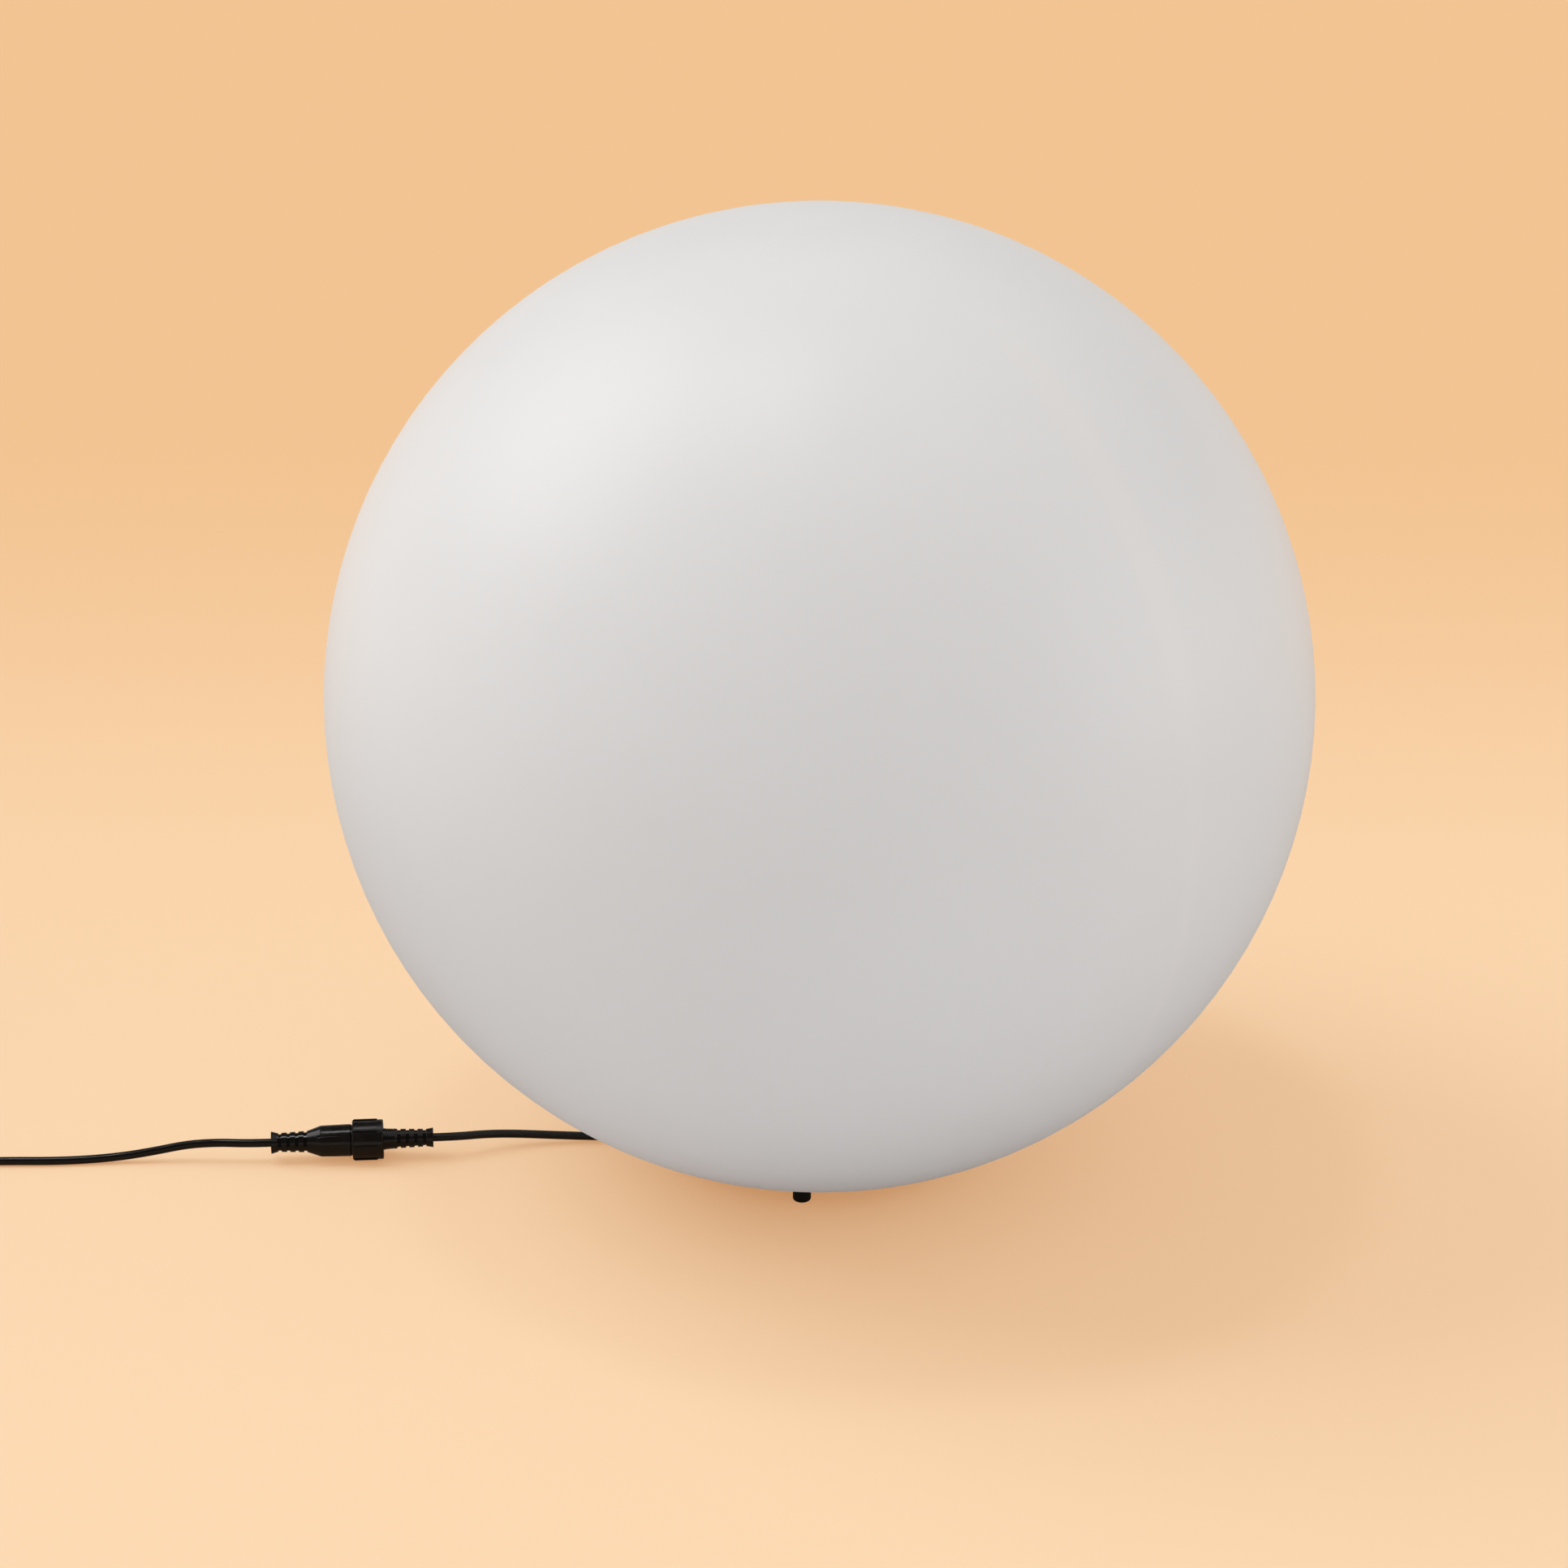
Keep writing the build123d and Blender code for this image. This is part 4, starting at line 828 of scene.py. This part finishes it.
@dataclass(frozen=True)
class CutThreads:
    """The screw ridges that the solids leave plain."""

    edison: Ridge = Ridge(3.629 * MM, 0.27 * MM, 1.7 * MM)
    cap_below: float = 3.4 * MM  # plain, under the ridge
    cap_above: float = 2.2 * MM
    shell_above: float = 1.6 * MM
    shell_wall: float = 0.4 * MM
    nose: Ridge = Ridge(1.5 * MM, 0.16 * MM, 0.9 * MM)
    nose_start: float = 34.6 * MM  # from the supply lead's end
    nose_radius: float = 6.45 * MM
    nose_length: float = 7.2 * MM
    fine: Ridge = Ridge(1.0 * MM, 0.08 * MM, 0.8 * MM)
    nipple_plain: float = 0.3 * MM  # at each end

    def build(self, wardrobe: Wardrobe) -> None:
        """The ridges of the lamp's cap, the holder's shell, the socket's nose and the nipple.

        Args:
            wardrobe: Holds the finishes.
        """
        cap_low, cap_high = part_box("lamp_cap")
        shell_low, shell_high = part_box("holder_shell")
        nipple_low, nipple_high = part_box("nipple")
        bottom = cap_low.z + self.cap_below
        nose_place = Vector(COUPLING_END) + COUPLING_AXIS * self.nose_start
        threads = [
            Thread(
                "lamp_cap_thread", "lamp", Slot.NICKEL, self.edison, (0.0, 0.0, bottom), UP,
                radius=(cap_high.x - cap_low.x) / 2, length=cap_high.z - bottom - self.cap_above,
            ),
            Thread(
                "holder_shell_thread", "base", Slot.BRASS, self.edison, (0.0, 0.0, bottom), UP,
                radius=(shell_high.x - shell_low.x) / 2 - self.shell_wall,
                length=shell_high.z - bottom - self.shell_above, phase=0.5,
            ),
            Thread(
                "socket_nose_thread", "supply", Slot.COUPLING, self.nose, tuple(nose_place),
                tuple(COUPLING_AXIS), radius=self.nose_radius, length=self.nose_length,
            ),
            Thread(
                "nipple_thread", "base", Slot.ZINC, self.fine,
                (0.0, 0.0, nipple_low.z + self.nipple_plain), UP,
                radius=(nipple_high.x - nipple_low.x) / 2,
                length=nipple_high.z - nipple_low.z - 2 * self.nipple_plain,
            ),
        ]
        for thread in threads:
            thread.build(wardrobe)


# ---------------------------------------------------------------- flutes
@dataclass(frozen=True)
class FluteFloors:
    """The hollow floors of the flutes, laid into the flat slots of the coupling's socket half."""

    count: int = 4
    first: float = math.radians(45)  # up from the front
    start: float = 19.25 * MM  # from the supply lead's end, where a slot leaves the cone
    end: float = 28.3 * MM
    half_width: float = 0.755 * MM
    slot_floor: float = 5.95 * MM  # from the coupling's axis
    sunk: float = 0.08 * MM  # the strips' edges under the body's surface
    body_places: tuple[float, ...] = (15.1 * MM, 20.5 * MM, 21.2 * MM, 33.0 * MM)
    body_radii: tuple[float, ...] = (4.5 * MM, 6.4 * MM, 6.5 * MM, 6.75 * MM)
    straight_rows: int = 30
    round_rows: int = 8
    columns: int = 15
    round_arc: float = math.radians(84)  # of the quarter turn that closes a slot

    def strip(self, name: str, outwards: Vector) -> bpy.types.Object:
        """One strip with a hollow top, which narrows round the slot's closed end.

        Past the straight stretch, the half width is the root of the slot's half width squared less
        the way past it squared. The top rises from the slot's floor to just under the body's
        surface with the square of the distance from the middle line, or from that line's end.

        Args:
            name: The object's name.
            outwards: Direction from the coupling's axis to the slot.

        Returns:
            The linked object, at the origin.
        """
        turn = np.linspace(0, self.round_arc, self.round_rows + 1)[1:]
        past = np.concatenate([np.zeros(self.straight_rows), self.half_width * np.sin(turn)])
        straight = np.linspace(self.start, self.end - self.half_width, self.straight_rows)
        places = np.concatenate([straight, np.full(self.round_rows, straight[-1])]) + past
        half = np.sqrt(self.half_width**2 - past**2)[:, None]
        edge = np.interp(places, self.body_places, self.body_radii) - self.sunk
        rise = np.maximum(edge - self.slot_floor, 0)[:, None] / self.half_width**2
        top = half * np.sin(np.linspace(math.pi / 2, -math.pi / 2, self.columns))
        height = self.slot_floor + rise * (top**2 + past[:, None] ** 2)
        under = np.full((len(places), 2), self.slot_floor - self.sunk)
        section = np.stack([np.hstack([top, -half, half]), np.hstack([height, under])], -1)
        middles = np.array(COUPLING_END) + places[:, None] * np.array(COUPLING_AXIS)
        axes = [np.array(outwards.cross(COUPLING_AXIS)), np.array(outwards)]
        return swept(name, middles, *[np.broadcast_to(axis, middles.shape) for axis in axes], section)

    def build(self, wardrobe: Wardrobe) -> None:
        """The strips, evenly round the coupling.

        Args:
            wardrobe: Holds the finishes.
        """
        front, up = COUPLING_AXIS.cross(Vector(UP)), Vector(UP)
        for number in range(self.count):
            lift = self.first + number * 2 * math.pi / self.count
            outwards = front * math.cos(lift) + up * math.sin(lift)
            strip = self.strip(f"flute_floor_{number + 1}", outwards)
            settle(strip, "supply", Slot.COUPLING, wardrobe)


# ---------------------------------------------------------------- studio
@dataclass(frozen=True)
class Viewpoint:
    """The photograph's viewpoint, from the globe's outline in it."""

    side: float = 1932.0  # pixels
    globe_middle: tuple[float, float] = (1009.0, 859.6)  # pixels
    globe_reach: float = 610.8  # pixels, the outline's radius
    distance: float = 9.0  # globe radii
    elevation: float = math.radians(22)
    sensor: float = 36.0  # millimetres

    def build(self, radius: float) -> None:
        """The camera, with the globe's outline where the photograph has it.

        The focal length in pixels is the outline's radius over the tangent of the angle whose sine
        is one over the distance. The view turns from the globe's middle by that middle's offset
        in the picture.

        Args:
            radius: The globe's radius in metres.
        """
        focal = self.globe_reach / math.tan(math.asin(1 / self.distance))
        across = math.atan((self.globe_middle[0] - self.side / 2) / focal)
        above = math.atan((self.side / 2 - self.globe_middle[1]) / focal)
        down = self.elevation + above
        level = math.cos(down)
        turn = across / level
        ahead = Vector((-math.sin(turn) * level, math.cos(turn) * level, -math.sin(down)))
        right = ahead.cross(Vector(UP)).normalized()
        data = bpy.data.cameras.new("photograph_view")
        data.sensor_width = self.sensor
        data.lens = focal / self.side * self.sensor
        camera = bpy.data.objects.new("photograph_view", data)
        bpy.context.scene.collection.objects.link(camera)
        place = Vector((0, -math.cos(self.elevation), math.sin(self.elevation))) * self.distance * radius
        axes = Matrix((right, right.cross(ahead), -ahead)).transposed().to_4x4()
        camera.matrix_world = Matrix.Translation(place + Vector((0, 0, radius))) @ axes
        bpy.context.scene.camera = camera


@dataclass(frozen=True)
class SoftLamp:
    """One broad, distant lamp, so that its light is as even on the floor as on the object."""

    name: str
    towards: tuple[float, float, float]
    spread: float  # degrees across
    strength: float  # 3.14 lights a facing surface at its own colour

    def build(self) -> None:
        """The lamp, shining from its direction on the origin."""
        data = bpy.data.lights.new(self.name, "SUN")
        data.angle = math.radians(self.spread)
        data.energy = self.strength
        lamp = bpy.data.objects.new(self.name, data)
        bpy.context.scene.collection.objects.link(lamp)
        lamp.location = Vector(self.towards)
        lamp.rotation_mode = "QUATERNION"
        lamp.rotation_quaternion = Vector(self.towards).to_track_quat("Z", "Y")


@dataclass(frozen=True)
class Studio:
    """Floor, soft light and the photograph's viewpoint."""

    floor_side: float = 14.0
    # painted light: the floor glows with this tone on top of its lit colour, so that shadows on it stay
    # light
    floor_painted_glow: Colour = (0.54, 0.262, 0.112)
    floor_lit: Colour = (0.455, 0.457, 0.352)
    # painted shade: between these places the lit tone darkens to the far tone, towards the back, as if
    # the light fell off
    floor_painted_falloff: tuple[float, float] = (-0.05, 0.95)  # from the first place to the second
    floor_far_painted_shade: Colour = (0.36, 0.30, 0.185)  # floor_lit beyond there
    floor_bounce: Colour = (0.715, 0.733, 0.757)
    # painted shade: mirrors see the floor's tone dimmed to these shares, dimmest near the object
    floor_mirror_painted_shade: tuple[float, float] = (0.30, 0.95)  # share of its tone in mirrors, near and far
    backdrop: Colour = (0.81, 0.53, 0.32)
    ambient: float = 0.61
    ambient_tint: Colour = (1.0, 0.985, 0.97)
    mirrored_air: tuple[float, float] = (0.60, 0.09)  # in mirrors, near the horizon and above
    mirrored_tint: Colour = (1.0, 0.97, 0.94)
    horizon_band: tuple[float, float] = (0.04, 0.30)  # a direction's Z
    lamps: tuple[SoftLamp, ...] = (
        SoftLamp("key_lamp", (-0.67, 0.20, 0.70), 44.0, 1.10),
        SoftLamp("side_lamp", (0.95, -0.12, 0.20), 50.0, 0.52),
        SoftLamp("top_strip", (-0.15, 0.08, 0.985), 10.0, 0.26),
    )

    def build(self) -> None:
        """Everything round the object."""
        low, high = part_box("globe_shell")
        Viewpoint().build((high.x - low.x) / 2)
        for lamp in self.lamps:
            lamp.build()
        self.floor()
        self.world()
        bpy.context.scene.view_settings.view_transform = "Standard"

    def floor(self) -> None:
        """A flat sheet of paper under the object and far beyond it."""
        half = self.floor_side / 2
        corners = np.array([(-half, -half, 0), (half, -half, 0), (half, half, 0), (-half, half, 0)])
        sheet = smooth_mesh("studio_floor", corners, [(0, 1, 2, 3)])
        sheet.data.materials.append(self.paper())

    def paper(self) -> bpy.types.Material:
        """Peach paper, lighter near the camera, with painted shade that darkens its lit tone towards the
        back.

        Diffuse rays get a plain pale sheet, so that its light on the object isn't too warm. Mirror
        rays get the paper's own tone, dimmed most near the object as painted shade.

        Returns:
            The material.
        """
        material = bpy.data.materials.new("peach_paper")
        material.use_nodes = True
        n, link = material.node_tree.nodes, material.node_tree.links.new
        place, split = n.new("ShaderNodeTexCoord"), n.new("ShaderNodeSeparateXYZ")
        # painted shade: the fade darkens the lit tone towards the back, and it also sets how dim the
        # floor looks in mirrors
        fade, tone = n.new("ShaderNodeMapRange"), n.new("ShaderNodeMix")
        fade.interpolation_type = "SMOOTHSTEP"
        map_from(fade, self.floor_painted_falloff)
        tone.data_type = "RGBA"
        tone.inputs["A"].default_value = rgba(self.floor_lit)
        tone.inputs["B"].default_value = rgba(self.floor_far_painted_shade)
        # painted light: a glow added to the lit paper, which lightens every shadow on it
        lit, painted_glow = n.new("ShaderNodeBsdfDiffuse"), n.new("ShaderNodeEmission")
        painted_glow.inputs["Color"].default_value = rgba(self.floor_painted_glow)
        seen, bounce = n.new("ShaderNodeAddShader"), n.new("ShaderNodeBsdfDiffuse")
        bounce.inputs["Color"].default_value = rgba(self.floor_bounce)
        ray, choose = n.new("ShaderNodeLightPath"), n.new("ShaderNodeMixShader")
        # painted shade: black mixed into what mirrors see of the floor, most near the object
        mirror_painted_shade, mirrored = n.new("ShaderNodeEmission"), n.new("ShaderNodeMixShader")
        mirror_painted_shade.inputs["Strength"].default_value = 0.0
        near, far = self.floor_mirror_painted_shade
        lost, dim = n.new("ShaderNodeMath"), n.new("ShaderNodeMath")
        lost.operation, dim.operation = "MULTIPLY_ADD", "MULTIPLY"
        lost.inputs[1].default_value, lost.inputs[2].default_value = near - far, 1.0 - near
        link(place.outputs["Object"], split.inputs[0])
        link(split.outputs["Y"], fade.inputs["Value"])
        link(fade.outputs["Result"], tone.inputs["Factor"])
        link(tone.outputs["Result"], lit.inputs["Color"])
        link(lit.outputs[0], seen.inputs[0])
        link(painted_glow.outputs[0], seen.inputs[1])
        link(fade.outputs["Result"], lost.inputs[0])
        link(ray.outputs["Is Glossy Ray"], dim.inputs[0])
        link(lost.outputs[0], dim.inputs[1])
        link(dim.outputs[0], mirrored.inputs["Fac"])
        link(seen.outputs[0], mirrored.inputs[1])
        link(mirror_painted_shade.outputs[0], mirrored.inputs[2])
        link(ray.outputs["Is Diffuse Ray"], choose.inputs["Fac"])
        link(mirrored.outputs[0], choose.inputs[1])
        link(bounce.outputs[0], choose.inputs[2])
        link(choose.outputs[0], n["Material Output"].inputs["Surface"])
        return material

    def world(self) -> None:
        """Even light all round, and the floor's pale tone behind everything.

        Mirror rays get a bright band above the horizon and dark air over it.
        """
        world = bpy.data.worlds.new("studio_air")
        bpy.context.scene.world = world
        world.use_nodes = True
        n, link = world.node_tree.nodes, world.node_tree.links.new
        air, seen = n["Background"], n.new("ShaderNodeBackground")
        mirrored = n.new("ShaderNodeBackground")
        air.inputs["Color"].default_value = rgba(self.ambient_tint)
        air.inputs["Strength"].default_value = self.ambient
        seen.inputs["Color"].default_value = rgba(self.backdrop)
        mirrored.inputs["Color"].default_value = rgba(self.mirrored_tint)
        place, split = n.new("ShaderNodeTexCoord"), n.new("ShaderNodeSeparateXYZ")
        rise, ray = n.new("ShaderNodeMapRange"), n.new("ShaderNodeLightPath")
        map_from(rise, self.horizon_band)
        rise.inputs["To Min"].default_value, rise.inputs["To Max"].default_value = self.mirrored_air
        shiny, choose = n.new("ShaderNodeMixShader"), n.new("ShaderNodeMixShader")
        link(place.outputs["Generated"], split.inputs[0])
        link(split.outputs["Z"], rise.inputs["Value"])
        link(rise.outputs["Result"], mirrored.inputs["Strength"])
        link(ray.outputs["Is Glossy Ray"], shiny.inputs["Fac"])
        link(air.outputs[0], shiny.inputs[1])
        link(mirrored.outputs[0], shiny.inputs[2])
        link(ray.outputs["Is Camera Ray"], choose.inputs["Fac"])
        link(shiny.outputs[0], choose.inputs[1])
        link(seen.outputs[0], choose.inputs[2])
        link(choose.outputs[0], n["World Output"].inputs["Surface"])


# ---------------------------------------------------------------- the whole
def dress_nodes(wardrobe: Wardrobe) -> None:
    """Gives every CAD node the finish of its slot, before other pieces replace a few of them.

    Args:
        wardrobe: Holds the finishes.
    """
    slots = {row["node"]: Slot(row["material_slot"]) for row in frame["record"]["subparts"]}
    for name, node in frame["nodes"].items():
        wardrobe.dress(node, slots[name])
        log.info("%s is dressed in %s", name, slots[name].value)


def main() -> None:
    """Builds the dressed object, piece by piece, and the studio round it."""
    logging.basicConfig(level=logging.INFO, format="%(message)s")
    wardrobe = Wardrobe()
    dress_nodes(wardrobe)
    leads = Leads(wardrobe)
    leads.build()
    CoilTie(leads.coil).build(wardrobe)
    CutThreads().build(wardrobe)
    FluteFloors().build(wardrobe)
    Studio().build()


if __name__ == "__main__":
    main()
